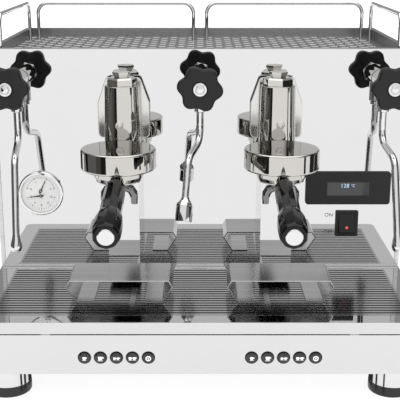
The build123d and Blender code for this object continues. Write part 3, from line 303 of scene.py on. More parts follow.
# how far the brushing is stretched along and squeezed across
alongX = (3.0, 700.0, 700.0)
fineX = (1.5, 140.0, 140.0)
alongZ = (700.0, 700.0, 3.0)
finishes = [
    polishedMetal("mirrorSteel", grey(0.66), 0.012, 0.045, size=9.0),
    polishedMetal("traySteel", grey(0.64), 0.03, 0.09, size=20.0),
    brushedMetal("sideSteel", grey(0.5), grey(0.66), 0.22, 0.14, alongX),
    brushedMetal("pressedSteel", grey(0.27), grey(0.4), 0.3, 0.1, alongX, bump=0.05),
    brushedMetal("gridSteel", grey(0.4), grey(0.5), 0.16, 0.04, fineX, bump=0.004, edge=0),
    brushedMetal("standSteel", grey(0.38), grey(0.52), 0.18, 0.06, fineX, bump=0.006),
    polishedMetal("groupChrome", (0.54, 0.525, 0.5), 0.015, 0.05, size=30.0, amount=0.6),
    # a darkened copy of the chrome for the spouts: painted reflection of the black handle above them
    polishedMetal("spoutPaintedDarkChrome", (0.2, 0.195, 0.19), 0.03, 0.08, size=60.0),
    polishedMetal("brightChrome", grey(0.72), 0.02, 0.06, size=40.0),
    polishedMetal("darkChrome", grey(0.07), 0.04, 0.08, size=80.0, edge=0),
    brushedMetal("basketSteel", grey(0.4), grey(0.6), 0.3, 0.1, alongZ),
    brushedMetal("boilerSteel", grey(0.3), grey(0.5), 0.35, 0.12, alongX),
    brushedMetal("pipeSteel", (0.35, 0.34, 0.33), (0.55, 0.54, 0.52), 0.32, 0.1, alongZ),
    mouldedPlastic("castAlloy", (0.3, 0.3, 0.31), (0.42, 0.42, 0.43), 0.5, size=400.0, bump=0.4),
    shinier(mouldedPlastic("knobPlastic", grey(0.009), grey(0.016), 0.5), 0.36),
    shinier(mouldedPlastic("gripPlastic", grey(0.003), grey(0.007), 0.09, 0.03, bump=0.01), 0.26),
    shinier(mouldedPlastic("bezelPlastic", (0.012, 0.012, 0.013), grey(0.022), 0.5), 0.34),
    mouldedPlastic("rubberBlack", grey(0.008), grey(0.02), 0.3, bump=0.05),
    # the dial glows faintly: painted light, as the gauge has no lamp
    glowing(mouldedPlastic("dialWhitePaintedGlow", (0.86, 0.86, 0.85), (0.8, 0.8, 0.78), 0.5, bump=0.02), 0.08),
    mouldedPlastic("needleBlack", grey(0.02), grey(0.05), 0.4, edge=0.0001),
    polishedMetal("flangeSteel", (0.64, 0.63, 0.61), 0.14, 0.18, size=30.0),
    # the white print glows: painted light that makes the button pictograms bright
    glowing(printed("printWhitePaintedGlow", grey(0.9), grey(0.85), 0.5), 0.5),
    printed("printBlack", grey(0.02), grey(0.03), 0.6),
    glowing(printed("readingBlue", (0.45, 0.6, 0.8), (0.4, 0.55, 0.75), 0.5), 0.5, (0.5, 0.68, 0.95)),
    glowing(printed("lampRed", (0.5, 0.02, 0.015), (0.4, 0.02, 0.015), 0.15), 0.5, (1.0, 0.16, 0.12)),
    mouldedPlastic("screenGlass", (0.05, 0.052, 0.054), (0.06, 0.062, 0.064), 0.12, bump=0.0),
]
finish = {material.name: material for material in finishes}
print("materials made:", len(finish))

nodeFinish = {
    "mirrorSteel": ["splash_panel", "front_panel", "pedestals"],
    "traySteel": ["drip_tray"],
    "sideSteel": ["left_side_panel", "right_side_panel", "rear_panel"],
    "pressedSteel": ["cup_tray", "base_pan"],
    "gridSteel": ["drip_grid"],
    "standSteel": ["left_cup_stand", "right_cup_stand"],
    "groupChrome": [
        "left_group_head", "right_group_head", "left_portafilter", "right_portafilter",
        "tap_valves", "group_caps",
    ],
    "brightChrome": [
        "cup_rails", "foot_sleeves", "gauge_case", "left_steam_wand", "hot_water_wand",
        "right_steam_wand", "left_steam_spindle", "hot_water_spindle", "right_steam_spindle",
    ],
    "darkChrome": [f"{side}_{name}_button" for side in sides
                   for name in ("one_small", "one_large", "two_small", "two_large", "manual")],
    "basketSteel": ["left_filter_basket", "right_filter_basket", "shower_screens"],
    "boilerSteel": ["boiler"],
    "pipeSteel": ["pipework", "service_fittings"],
    "castAlloy": ["pump_motor"],
    "knobPlastic": ["left_steam_knob", "hot_water_knob", "right_steam_knob", "control_box"],
    "gripPlastic": ["left_handle", "right_handle", "button_guides"],
    "bezelPlastic": ["display_bezel", "switch_frame", "switch_rocker"],
    "rubberBlack": ["foot_pads", "group_gaskets"],
    "dialWhitePaintedGlow": ["gauge_dial"],
    "needleBlack": ["boiler_needle", "pump_needle"],
    "screenGlass": ["display_screen"],
}
for label, members in nodeFinish.items():
    for member in members:
        for materialSlot in nodes[member].material_slots:
            materialSlot.material = finish[label]
print("finishes given to the frame's nodes")

# shapes that several pieces share: nearer points are merged, and no ring is smaller than the second number
mergeDistance = 0.01
leastRadius = 0.02


def meshPiece(name, bm, label, body, slot, sharpAngle):
    bmesh.ops.remove_doubles(bm, verts=bm.verts[:], dist=mergeDistance * mm)
    bmesh.ops.recalc_face_normals(bm, faces=bm.faces[:])
    mesh = bpy.data.meshes.new(name)
    bm.to_mesh(mesh)
    bm.free()
    mesh.polygons.foreach_set("use_smooth", [True] * len(mesh.polygons))
    mesh.set_sharp_from_angle(angle=radians(sharpAngle))
    mesh.materials.append(finish[label])
    piece = bpy.data.objects.new(name, mesh)
    bpy.context.scene.collection.objects.link(piece)
    # keeps the long faces beside small roundings flat to the light
    piece.modifiers.new("areaNormals", "WEIGHTED_NORMAL").keep_sharp = True
    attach(piece, body)
    return piece


def filleted(points, radius, steps=6):
    # replace each inner corner of a line by a short curve
    points = [Vector(point) for point in points]
    made = [points[0]]
    for before, corner, after in zip(points, points[1:], points[2:]):
        back, forth = before - corner, after - corner
        turn = pi - back.angle(forth)
        reach = min(radius * tan(turn / 2), 0.45 * back.length, 0.45 * forth.length)
        start, end = corner + back.normalized() * reach, corner + forth.normalized() * reach
        for step in range(steps + 1):
            share = step / steps
            made.append(start * (1 - share) ** 2 + corner * 2 * share * (1 - share) + end * share ** 2)
    made.append(points[-1])
    return made


def lofted(bm, rings, capFirst=True, capLast=True):
    loops = [[bm.verts.new(point) for point in ring] for ring in rings]
    for low, high in zip(loops, loops[1:]):
        for index in range(len(low)):
            after = (index + 1) % len(low)
            bm.faces.new((low[index], low[after], high[after], high[index]))
    if capFirst:
        bm.faces.new(loops[0])
    if capLast:
        bm.faces.new(loops[-1])


def crossAxes(axis):
    axis = axis.normalized()
    side = axis.orthogonal().normalized()
    return side, axis.cross(side)


def around(steps):
    # directions evenly round a circle
    return [(cos(2 * pi * step / steps), sin(2 * pi * step / steps)) for step in range(steps)]


def revolved(bm, profile, origin, axis, steps):
    # profile points are (radius, along the axis), in mm
    side, up = crossAxes(axis)
    axis = axis.normalized()
    rings = []
    for radius, along in profile:
        centre = origin + axis * along * mm
        rings.append([centre + (side * a + up * b) * max(radius, leastRadius) * mm for a, b in around(steps)])
    lofted(bm, rings)


def turned(name, profile, origin, axis, steps, *given):
    # a revolved piece of its own, given its finish, body and sharp angle; the slot it is given is not used
    bm = bmesh.new()
    revolved(bm, profile, origin, axis, steps)
    return meshPiece(name, bm, *given)


def swept(bm, path, radius, steps=28):
    # a round section carried along a line without twisting
    rings = []
    side = None
    for index, point in enumerate(path):
        ahead = path[min(index + 1, len(path) - 1)] - path[max(index - 1, 0)]
        if side is None:
            side = ahead.orthogonal().normalized()
        side = (side - ahead.normalized() * side.dot(ahead.normalized())).normalized()
        up = ahead.normalized().cross(side)
        rings.append([point + (side * a + up * b) * radius * mm for a, b in around(steps)])
    lofted(bm, rings)


def cornered(centre, side, up, radius, corners, turn, ease):
    # a regular outline with eased corners, three points at each
    tips = [
        Vector((cos(radians(turn) + 2 * pi * index / corners), sin(radians(turn) + 2 * pi * index / corners)))
        for index in range(corners)
    ]
    ring = []
    for index, tip in enumerate(tips):
        start = tip.lerp((tip + tips[index - 1]) / 2, ease)
        end = tip.lerp((tip + tips[(index + 1) % corners]) / 2, ease)
        for flat in (start, (start + tip * 2 + end) / 4, end):
            ring.append(centre + (side * flat.x + up * flat.y) * radius * mm)
    return ring


def prism(bm, outline, ahead, thickness, edge):
    # an upright plate: outline in (x, z), from ahead forward by its thickness, with eased rims
    middleX = sum(point[0] for point in outline) / len(outline)
    middleZ = sum(point[1] for point in outline) / len(outline)
    reach = max(abs(point[0] - middleX) for point in outline)
    rings = []
    part = edge * 0.3
    for depth, inset in ((0, edge), (part, part), (edge, 0), (thickness - edge, 0),
                         (thickness - part, part), (thickness, edge)):
        share = 1 - inset / reach
        rings.append([
            place(middleX + (x - middleX) * share, ahead + depth, middleZ + (z - middleZ) * share)
            for x, z in outline
        ])
    lofted(bm, rings)


def addText(bm, text, size, x, ahead, z):
    curve = bpy.data.curves.new("lettering", "FONT")
    curve.body = text
    curve.size = size * mm
    curve.align_x = "CENTER"
    curve.align_y = "CENTER"
    curve.resolution_u = 3
    holder = bpy.data.objects.new("lettering", curve)
    mesh = bpy.data.meshes.new_from_object(holder)
    mesh.transform(Matrix.Translation(place(x, ahead, z)) @ Matrix.Rotation(radians(90), 4, "X"))
    bm.from_mesh(mesh)
    bpy.data.objects.remove(holder)
    bpy.data.curves.remove(curve)
    bpy.data.meshes.remove(mesh)


def addPatch(bm, points):
    bm.faces.new([bm.verts.new(point) for point in points])


# groups: turned bell and column, arm between them, and the winged flange on the panel
group = {
    "x": 108.5,
    "bellAhead": 114.0,
    "bellFoot": 291.1,
    # radius, and height over the foot
    "bellHollow": [(0, 18.0), (22.0, 18.0), (22.0, 22.0), (36.6, 22.0), (36.6, 14.5), (44.3, 14.5),
                   (44.3, 7.5), (37.5, 7.5), (37.5, 0.0)],
    "bellOutside": [(38.5, 0.0), (50.2, 0.0), (50.2, 27.4), (0, 28.0)],
    "hollowRounding": 0.8,
    "bellRounding": 3.0,
    "columnAhead": 35.0,
    "columnFoot": 294.1,
    "column": [(0, 0), (27.6, 0), (26.0, 4.0), (24.0, 96.0), (0, 96.0)],
    "columnRounding": 1.4,
    "armHalf": 18.0,
    "armHeights": (294.1, 316.3),
    "armRounding": 5.0,
    "armAhead": 8.0,
    "armLength": 98.0,
    "wingAhead": 10.0,
    "wingThickness": 4.4,
    "wing": [(36.5, 311.0), (36.5, 361.5), (24.0, 397.5), (-24.0, 397.5), (-36.5, 361.5), (-36.5, 311.0)],
    "wingRounding": 7.0,
    "wingEdge": 0.9,
    "bossRadius": 28.0,
    "bossHeight": 350.1,
    "edge": 0.4,
}


def makeGroup(side, sign):
    x = sign * group["x"]
    plated = ("machine", "plated_brass")
    bell = filleted(group["bellHollow"], group["hollowRounding"], 2)
    bell += filleted(group["bellOutside"], group["bellRounding"], 6)
    column = filleted(group["column"], group["columnRounding"], 4)
    parts = [
        turned(f"{side}Bell", bell, place(x, group["bellAhead"], group["bellFoot"]), upward, 128,
               "groupChrome", *plated, 40),
        turned(f"{side}Column", column, place(x, group["columnAhead"], group["columnFoot"]), upward, 96,
               "groupChrome", *plated, 40),
    ]
    bm = bmesh.new()
    half = group["armHalf"]
    low, high = group["armHeights"]
    section = filleted([(0, low), (half, low), (half, high), (-half, high), (-half, low), (0, low)],
                       group["armRounding"], 5)
    prism(bm, [(x + a, b) for a, b in section[:-1]], group["armAhead"], group["armLength"], group["edge"])
    radius = group["bossRadius"]
    boss = [(x + radius * a, group["bossHeight"] + radius * b) for a, b in around(64)]
    prism(bm, boss, 0.0, group["wingAhead"], group["edge"])
    parts.append(meshPiece(f"{side}GroupArm", bm, "groupChrome", *plated, 30))
    bm = bmesh.new()
    wing = [Vector(point) for point in group["wing"]]
    middle = (wing[0] + wing[-1]) / 2
    outline = filleted([middle, *wing, middle], group["wingRounding"], 6)[:-1]
    prism(bm, [(x + a, b) for a, b in outline], group["wingAhead"], group["wingThickness"], group["wingEdge"])
    parts.append(meshPiece(f"{side}GroupFlange", bm, "flangeSteel", *plated, 40))
    for part in parts:
        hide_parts(f"{side}_group_head")


for side, sign in sides.items():
    makeGroup(side, sign)
print("groups made")

# knobs: six soft lobes, a hollow face for the chrome head, a hub behind
knob = {
    "meanRadius": 28.4,
    "lobe": 2.6,
    "lobes": 6,
    "flatness": 0.12,
    "face": 101.0,
    "height": 394.0,
    "places": {"left_steam": (-257.05, 30.0), "hot_water": (0.0, 22.0), "right_steam": (257.05, 30.0)},
    # how lobed, radius or else the inset from the lobes, distance behind the face
    "layers": [
        (0, 4.1, 1.95), (0, 9.5, 2.0), (0, 9.5, 0.9), (0, 10.4, 0.0), (0.35, 15.0, 0.0), (1, 4.2, 0.1),
        (1, 2.4, 0.35), (1, 1.2, 1.0), (1, 0.35, 2.1), (1, 0.0, 3.6), (1, 0.0, 13.0), (1, 0.5, 14.8),
        (1, 1.6, 15.7), (1, 3.2, 16.0), (0, 14.2, 16.0), (0, 13.0, 16.8), (0, 13.0, 23.0), (0, 12.0, 24.0),
        (0, 4.1, 24.0),
    ],
    # radius, and distance ahead of the panel
    "spindle": [(0, 38.3), (4.0, 38.3), (4.0, 99.0), (9.0, 99.0), (9.0, 102.4), (6.4, 102.7), (6.0, 101.2),
                (4.9, 101.2), (4.7, 102.9), (0, 103.5)],
    "spindleRounding": 0.5,
    "segments": 180,
}


def makeKnob(name, x, turn):
    rings = []
    for lobed, size, behind in knob["layers"]:
        ring = []
        for step in range(knob["segments"]):
            angle = 2 * pi * step / knob["segments"]
            wave = cos(knob["lobes"] * (angle - radians(90 + turn)))
            # flatter tops than a plain wave, as the moulded lobes have
            swell = knob["lobe"] * (wave + knob["flatness"] * (1 - wave * wave))
            radius = knob["meanRadius"] + swell - size if lobed == 1 else size + swell * lobed
            spot = (x + radius * cos(angle), knob["face"] - behind, knob["height"] + radius * sin(angle))
            ring.append(place(*spot))
        rings.append(ring)
    bm = bmesh.new()
    lofted(bm, rings, capFirst=False, capLast=False)
    piece = meshPiece(f"{name}KnobBody", bm, "knobPlastic", f"{name}_knob", "black_plastic", 50)
    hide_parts(f"{name}_knob")
    head = filleted(knob["spindle"], knob["spindleRounding"], 3)
    piece = turned(f"{name}Spindle", head, place(x, 0, knob["height"]), forward, 64,
                   "brightChrome", f"{name}_knob", "chrome", 45)
    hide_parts(f"{name}_spindle")


for name, (x, turn) in knob["places"].items():
    makeKnob(name, x, turn)
print("knobs made")

# tap valves: a barrel out of the panel, its packing nut, and the leg that holds the wand
valve = {
    # radius, and distance ahead of the panel or else height over the floor
    "barrel": [(4.3, -10.0), (13.0, -10.0), (13.0, 62.0), (4.3, 62.0)],
    "nut": [(4.3, 62.0), (14.0, 62.0), (15.0, 63.0), (15.0, 73.0), (14.0, 74.0), (4.3, 74.0)],
    "leg": [(6.8, 358.0), (10.0, 358.0), (10.0, 390.0), (6.8, 390.0)],
    "legAhead": 30.0,
    "rounding": 0.6,
}


def makeValves():
    bm = bmesh.new()
    barrel, leg = (filleted(valve[name], valve["rounding"], 2) for name in ("barrel", "leg"))
    for x, _ in knob["places"].values():
        start = place(x, 0, knob["height"])
        for outline, origin, axis, facets in (
                (barrel, start, forward, 96), (valve["nut"], start, forward, 6),
                (leg, place(x, valve["legAhead"], 0), upward, 72)):
            revolved(bm, [*outline, outline[0]], origin, axis, facets)
    piece = meshPiece("tapBarrels", bm, "groupChrome", "machine", "plated_brass", 30)
    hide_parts("tap_valves")


makeValves()
print("valves made")

# portafilters: a hollow bowl with two ears, the neck to the handle, and two drooping spouts
portafilter = {
    "foot": 291.1,
    # radius, and height over the bell's foot
    "outside": [(5.0, -28.5), (8.6, -28.3), (11.5, -25.5), (17.0, -21.6), (25.0, -18.2), (30.6, -14.6),
                (33.2, -9.5), (33.6, -4.0), (33.6, 4.4), (36.9, 4.8), (36.9, 13.6)],
    "inside": [(30.4, 13.6), (30.4, -16.5), (3.2, -19.5), (3.2, -28.5)],
    "outsideRounding": 1.4,
    "insideRounding": 0.6,
    "earRadii": (34.0, 43.6),
    "earHalfSpan": 14.0,
    "earHeights": (7.9, 13.6),
    # distance to the side, height over the bell's foot, radius
    "spout": [(0, -26.0, 4.6), (9.0, -26.6, 5.4), (15.5, -29.0, 6.2), (19.0, -34.5, 6.0), (20.2, -41.0, 5.0),
              (20.0, -49.0, 4.4)],
    "spoutSteps": 28,
    # radius, and distance along the handle's axis
    "neck": [(0, 24.0), (9.0, 24.0), (9.2, 30.0), (8.4, 44.0), (8.0, 50.0), (8.0, 52.0), (0, 52.0)],
    "rod": [(0, 52.0), (4.0, 52.0), (4.0, 75.0), (0, 75.0)],
}
handle = {
    "height": 285.6,
    "tilt": radians(9.0),
    "facets": 10,
    "turn": 18.0,
    "ease": 0.22,
    # distance along the handle's axis, and radius
    "sections": [
        (52.0, 11.8), (52.7, 12.9), (54.0, 13.4), (76.0, 13.8), (100.0, 14.0), (126.0, 14.0), (132.0, 14.0),
        (135.0, 14.3), (138.0, 15.2), (141.0, 16.3), (144.0, 17.0), (148.0, 17.5), (156.0, 17.8),
        (165.0, 18.0), (176.0, 17.8), (183.0, 17.3), (187.0, 16.6), (189.4, 15.6), (190.4, 14.2),
        (190.4, 10.8), (187.6, 10.7),
    ],
    "cap": [(0, 187.4), (10.6, 187.4), (10.6, 190.6), (9.9, 191.5), (8.6, 191.9), (5.0, 192.1), (0, 192.2)],
    "screwAlong": 64.0,
    "screw": [(0, 10.0), (2.1, 10.0), (2.1, 13.5), (1.2, 13.8), (1.2, 13.2), (0, 13.2)],
}
handleAxis = Vector((0, -cos(handle["tilt"]), -sin(handle["tilt"])))


def makeBowl(side, centre):
    bm = bmesh.new()
    profile = filleted(portafilter["outside"], portafilter["outsideRounding"], 3)
    profile += filleted(portafilter["inside"], portafilter["insideRounding"], 2)
    revolved(bm, [*profile, profile[0]], centre, upward, 96)
    (near, far), (low, high) = portafilter["earRadii"], portafilter["earHeights"]
    for turn in (0, 180):
        rows = []
        for share in (-1, -0.75, -0.5, -0.25, 0, 0.25, 0.5, 0.75, 1):
            angle = radians(turn + share * portafilter["earHalfSpan"])
            ray = Vector((cos(angle), sin(angle), 0))
            corners = ((near, low), (far, low), (far, high), (near, high))
            rows.append([centre + (ray * radius + upward * z) * mm for radius, z in corners])
        lofted(bm, rows)
    return meshPiece(f"{side}FilterBowl", bm, "groupChrome", f"{side}_portafilter", "chrome", 40)


def makeSpouts(side, centre):
    bm = bmesh.new()
    level = Vector((0, 1, 0))
    spout = portafilter["spout"]
    for out in (-1, 1):
        rings = []
        for index, (reach, z, radius) in enumerate(spout):
            back, forth = spout[max(index - 1, 0)], spout[min(index + 1, len(spout) - 1)]
            along = Vector(((forth[0] - back[0]) * out, 0, forth[1] - back[1])).normalized()
            across = along.cross(level).normalized()
            middle = centre + Vector((reach * out * mm, 0, z * mm))
            rings.append([middle + (level * a + across * b) * (radius * mm)
                          for a, b in around(portafilter["spoutSteps"])])
        lofted(bm, rings)
    # the spouts take the chrome that is painted dark for the reflected handle
    return meshPiece(f"{side}Spouts", bm, "spoutPaintedDarkChrome", f"{side}_portafilter", "chrome", 50)


def makePortafilter(side, sign):
    x = sign * group["x"]
    centre = place(x, group["bellAhead"], portafilter["foot"])
    bowl, spouts = makeBowl(side, centre), makeSpouts(side, centre)
    bm = bmesh.new()
    for outline in (portafilter["neck"], portafilter["rod"]):
        revolved(bm, outline, place(x, group["bellAhead"], handle["height"]), handleAxis, 48)
    neckPiece = meshPiece(f"{side}Neck", bm, "groupChrome", f"{side}_portafilter", "chrome", 40)
    for piece in (bowl, spouts, neckPiece):
        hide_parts(f"{side}_portafilter")


# handles: eased facets from the slim root over a shoulder to the thick grip, chrome cap and a screw
def makeHandle(side, sign):
    up, across = Vector((0, -sin(handle["tilt"]), cos(handle["tilt"]))), Vector((1, 0, 0))
    start = place(sign * group["x"], group["bellAhead"], handle["height"])
    bm = bmesh.new()
    lofted(bm, [
        cornered(start + handleAxis * along * mm, across, up, radius,
                 handle["facets"], handle["turn"], handle["ease"])
        for along, radius in handle["sections"]
    ])
    body = f"{side}_portafilter"
    grip = meshPiece(f"{side}HandleGrip", bm, "gripPlastic", body, "black_plastic", 60)
    cap = turned(f"{side}HandleCap", handle["cap"], start, handleAxis, 64, "brightChrome", body, "chrome", 50)
    screwAt = start + handleAxis * handle["screwAlong"] * mm
    screw = turned(f"{side}HandleScrew", handle["screw"], screwAt, up, 32,
                   "needleBlack", body, "black_plastic", 40)
    for piece in (grip, cap, screw):
        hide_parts(f"{side}_handle")


for side, sign in sides.items():
    makePortafilter(side, sign)
    makeHandle(side, sign)
print("portafilters and handles made")

# wands: one bent tube each, a collar under the valve and a steam tip or a faceted water nozzle
wand = {
    "ahead": 30.0,
    "legFoot": 358.0,
    "upper": 47.5,
    "jogDrop": 14.0,
    "throw": 62.0,
    "lean": radians(17.0),
    "radius": 5.0,
    "bend": 24.0,
    "bendSteps": 12,
    "endPiece": 20.0,
    "collarDrop": 6.3,
    # radius, and distance along the axis
    "collar": [(0, 0), (7.0, 0), (8.0, 0.9), (8.0, 5.0), (7.3, 5.8), (6.4, 5.9), (6.4, 15.0), (0, 15.0)],
    # middle, turn to the right and length of the straight part
    "places": {"left_steam_wand": (-257.05, 5.0, 125.0), "hot_water_wand": (0.0, -15.0, 84.0),
               "right_steam_wand": (257.05, 6.3, 125.0)},
    "tip": [(0, 0.2), (2.6, 0.2), (4.6, 0.9), (6.4, 2.6), (7.5, 5.0), (8.0, 8.0), (7.9, 10.5), (7.2, 14.0),
            (6.2, 18.0), (5.4, 21.5), (5.0, 25.0), (0, 25.0)],
    "nozzle": [(8.8, 8.0), (9.6, 2.0), (10.2, 0.4), (11.2, 0.0), (12.0, 0.9), (12.1, 20.0), (11.8, 22.5),
               (10.6, 25.0), (8.6, 27.8), (6.6, 30.4), (5.6, 33.0), (5.1, 36.0)],
    "nozzleFacets": 8,
    "nozzleTurn": 10.0,
    # the facets are sharp over this radius and all but round under it
    "nozzleWide": 10.5,
    "nozzleEases": (0.24, 0.9),
}


def addNozzle(bm, end, axis):
    side, up = crossAxes(axis)
    sharp, soft = wand["nozzleEases"]
    lofted(bm, [
        cornered(end + axis * along * mm, side, up, radius, wand["nozzleFacets"], wand["nozzleTurn"],
                 sharp if radius > wand["nozzleWide"] else soft)
        for radius, along in wand["nozzle"]
    ])


def makeWand(name, x, turn, length):
    turn, lean = radians(turn), wand["lean"]

    def spot(out, z):
        return place(x + out * sin(turn), wand["ahead"] + out * cos(turn), z)

    jog = wand["legFoot"] - wand["upper"]
    elbow = jog - wand["jogDrop"]
    end, inner = (spot(wand["throw"] + part * sin(lean), elbow - part * cos(lean))
                  for part in (length, length - wand["endPiece"]))
    route = filleted([spot(0, wand["legFoot"]), spot(0, jog), spot(wand["throw"], elbow), inner],
                     wand["bend"] * mm, wand["bendSteps"])
    bm = bmesh.new()
    swept(bm, route, wand["radius"])
    tube = meshPiece(f"{name}Tube", bm, "brightChrome", name, "chrome", 50)
    collarFoot = spot(0, wand["legFoot"] - wand["collarDrop"])
    collar = turned(f"{name}Collar", wand["collar"], collarFoot, upward, 48,
                    "brightChrome", name, "chrome", 40)
    axis = (inner - end).normalized()
    bm = bmesh.new()
    if name == "hot_water_wand":
        addNozzle(bm, end, axis)
        label = "Nozzle"
    else:
        revolved(bm, wand["tip"], end, axis, 48)
        label = "Tip"
    tip = meshPiece(f"{name}{label}", bm, "brightChrome", name, "chrome", 50)
    for piece in (tube, collar, tip):
        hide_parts(name)


for name, (x, turn, length) in wand["places"].items():
    makeWand(name, x, turn, length)
print("wands made")

# brew buttons: white cups printed on the domes, given a painted glow
button = {
    "rowX": 108.7,
    "height": 61.6,
    "pitch": 20.8,
    "radius": 7.4,
    "rim": 213.4,
    "dome": 1.6,
    "print": 0.3,
    # for each button: how many cups, and their size
    "cups": {"one_small": (1, 4.4), "one_large": (1, 5.6), "two_small": (2, 3.4), "two_large": (2, 4.0),
             "manual": (0, 0)},
    "cupSpacing": 1.35,
    # bowl, saucer and ear of a cup of size one
    "cup": [
        [(-0.5, 0.45), (0.5, 0.45), (0.46, -0.05), (0.28, -0.38), (-0.28, -0.38), (-0.46, -0.05)],
        [(-0.6, -0.5), (0.6, -0.5), (0.5, -0.64), (-0.5, -0.64)],
        [(0.52, 0.35), (0.78, 0.3), (0.78, 0.0), (0.5, -0.08), (0.5, 0.04), (0.66, 0.08), (0.66, 0.2),
         (0.52, 0.24)],
    ],
    "ring": (2.3, 3.6),
    "ringSteps": 24,
    "dot": [(-0.7, -1.2), (0.7, -1.2), (0.7, 1.4), (-0.7, 1.4)],
}


def onDome(x, z, spot):
    # lay a printed point on a button's dome
    spread = (spot[0] ** 2 + spot[1] ** 2) / button["radius"] ** 2
    ahead = button["rim"] + button["dome"] * (1 - spread) + button["print"]
    return place(x + spot[0], ahead, z + spot[1])


def makePrint(side, name, x, z):
    count, size = button["cups"][name]
    shapes = []
    for index in range(count):
        offset = (index - (count - 1) / 2) * size * button["cupSpacing"]
        shapes += [[(offset + a * size, b * size) for a, b in shape] for shape in button["cup"]]
    if count == 0:
        inner, outer = button["ring"]
        rays = around(button["ringSteps"])
        for ray, after in zip(rays, rays[1:] + rays[:1]):
            ends = ((ray, inner), (after, inner), (after, outer), (ray, outer))
            shapes.append([(radius * a, radius * b) for (a, b), radius in ends])
        shapes.append(button["dot"])
    bm = bmesh.new()
    for shape in shapes:
        addPatch(bm, [onDome(x, z, spot) for spot in shape])
    meshPiece(f"{side}_{name}_print", bm, "printWhitePaintedGlow", f"{side}_{name}_button", "dial_white", 60)


for side, sign in sides.items():
    for index, name in enumerate(button["cups"]):
        makePrint(side, name, sign * button["rowX"] + (index - 2) * button["pitch"], button["height"])
print("button prints made")

# gauge: ticks and figures printed on the dial
gauge = {
    "x": -234.05,
    "height": 224.8,
    "face": 1.56,
    "pinDrop": 3.7,
    # inner and outer radius, and half the width
    "tick": (18.6, 21.0, 0.5),
    "smallTick": (19.2, 21.0, 0.2),
    "figureRadius": 14.6,
    "figureSize": 5.0,
    # first and last angle, the figures, and the steps from one to the next
    "upper": (80.0, -80.0, ["0", "1", "2", "3"], 10),
    "lower": (97.0, 263.0, ["0", "4", "8", "12", "16"], 4),
}


def addTicks(bm, centreZ, scale):
    start, end, figures, between = scale
    total = (len(figures) - 1) * between
    for index in range(total + 1):
        turn = radians(start + (end - start) * index / total)

        def spot(reach, wide=0.0):
            return (gauge["x"] - reach * sin(turn) + wide * cos(turn), gauge["face"],
                    centreZ + reach * cos(turn) + wide * sin(turn))

        inner, outer, half = gauge["tick" if index % between == 0 else "smallTick"]
        corners = ((inner, -half), (outer, -half), (outer, half), (inner, half))
        addPatch(bm, [place(*spot(*corner)) for corner in corners])
        if index % between == 0:
            addText(bm, figures[index // between], gauge["figureSize"], *spot(gauge["figureRadius"]))


for label, rise in (("upper", gauge["pinDrop"]), ("lower", -gauge["pinDrop"])):
    bm = bmesh.new()
    addTicks(bm, gauge["height"] + rise, gauge[label])
    meshPiece(f"gauge{label.title()}Scale", bm, "printBlack", "machine", "dial_white", 60)
print("gauge scales made")

# display: a bluish reading behind the glass
display = {
    "height": 236.5,
    "face": 3.56,
    # text, size, middle
    "reading": [("128", 8.5, 212.5), ("°C", 6.0, 224.5)],
}
bm = bmesh.new()
for text, size, x in display["reading"]:
    addText(bm, text, size, x, display["face"], display["height"])
meshPiece("displayReading", bm, "readingBlue", "machine", "dark_glass", 60)

# switch: a red lens in the rocker and black words on the panel beside it
switch = {
    "words": {"ON": 190.9, "OFF": 164.4},
    "wordsX": 190.8,
    "wordSize": 8.0,
    "printAhead": 0.08,
    "lampX": 217.6,
    "lampHeight": 172.8,
    "lamp": (2.2, 2.0),
    "lampSteps": 24,
    # share of the full size, and how far it stands out of the rocker
    "lampLayers": [(1.0, 0.15), (0.7, 0.42)],
    "castFrom": 60.0,
}


def makeLamp():
    rocker = nodes["switch_rocker"]
    toRocker = rocker.matrix_world.inverted()
    wide, tall = switch["lamp"]
    rings = []
    for share, out in switch["lampLayers"]:
        ring = []
        for a, b in around(switch["lampSteps"]):
            x, z = switch["lampX"] + wide * share * a, switch["lampHeight"] + tall * share * b
            start = toRocker @ place(x, switch["castFrom"], z)
            spot = rocker.ray_cast(start, toRocker.to_3x3() @ -forward)[1]
            ring.append(rocker.matrix_world @ spot + forward * out * mm)
        rings.append(ring)
    bm = bmesh.new()
    lofted(bm, rings, capFirst=False)
    meshPiece("switchLamp", bm, "lampRed", "switch_rocker", "black_plastic", 60)


bm = bmesh.new()
for word, height in switch["words"].items():
    addText(bm, word, switch["wordSize"], switch["wordsX"], switch["printAhead"], height)
meshPiece("switchWords", bm, "printBlack", "machine", "black_plastic", 60)
makeLamp()
print("display and switch dressed")

# cup tray: rows of long six-sided dimples pressed up in the floor, every second row set over by half
trayFloor = {
    "dash": 17.0,
    "half": 2.8,
    "rise": 0.9,
    # share of the width, and of the rise
    "layers": [(1.0, 0.0), (0.86, 0.6), (0.6, 1.0)],
    "point": 1.4,
    "pitchX": 30.0,
    "pitchY": 15.0,
    "margin": 14.0,
    "top": 422.0,
}


def addDimple(bm, x, y):
    long, half = trayFloor["dash"] / 2 * mm, trayFloor["half"] * mm
    rings = []
    for share, rise in trayFloor["layers"]:
        z = (trayFloor["top"] + rise * trayFloor["rise"]) * mm
        tip, wide = long - half * (1 - share), half * share
        flat = tip - wide * trayFloor["point"]
        outline = ((-tip, 0), (-flat, -wide), (flat, -wide), (tip, 0), (flat, wide), (-flat, wide))
        rings.append([Vector((x + a, y + b, z)) for a, b in outline])
    lofted(bm, rings, capFirst=False)


def makeTrayFloor():
    low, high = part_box("cup_tray")
    margin = trayFloor["margin"]
    bm = bmesh.new()
    row = 0
    y = low[1] + margin * mm
    while y < high[1] - margin * mm:
        x = low[0] + (margin + (row % 2) * trayFloor["pitchX"] / 2) * mm
        while x < high[0] - margin * mm:
            addDimple(bm, x, y)
            x += trayFloor["pitchX"] * mm
        y += trayFloor["pitchY"] * mm
        row += 1
    meshPiece("cupTrayDimples", bm, "pressedSteel", "machine", "polished_steel", 25)


makeTrayFloor()
print("cup tray pressed")

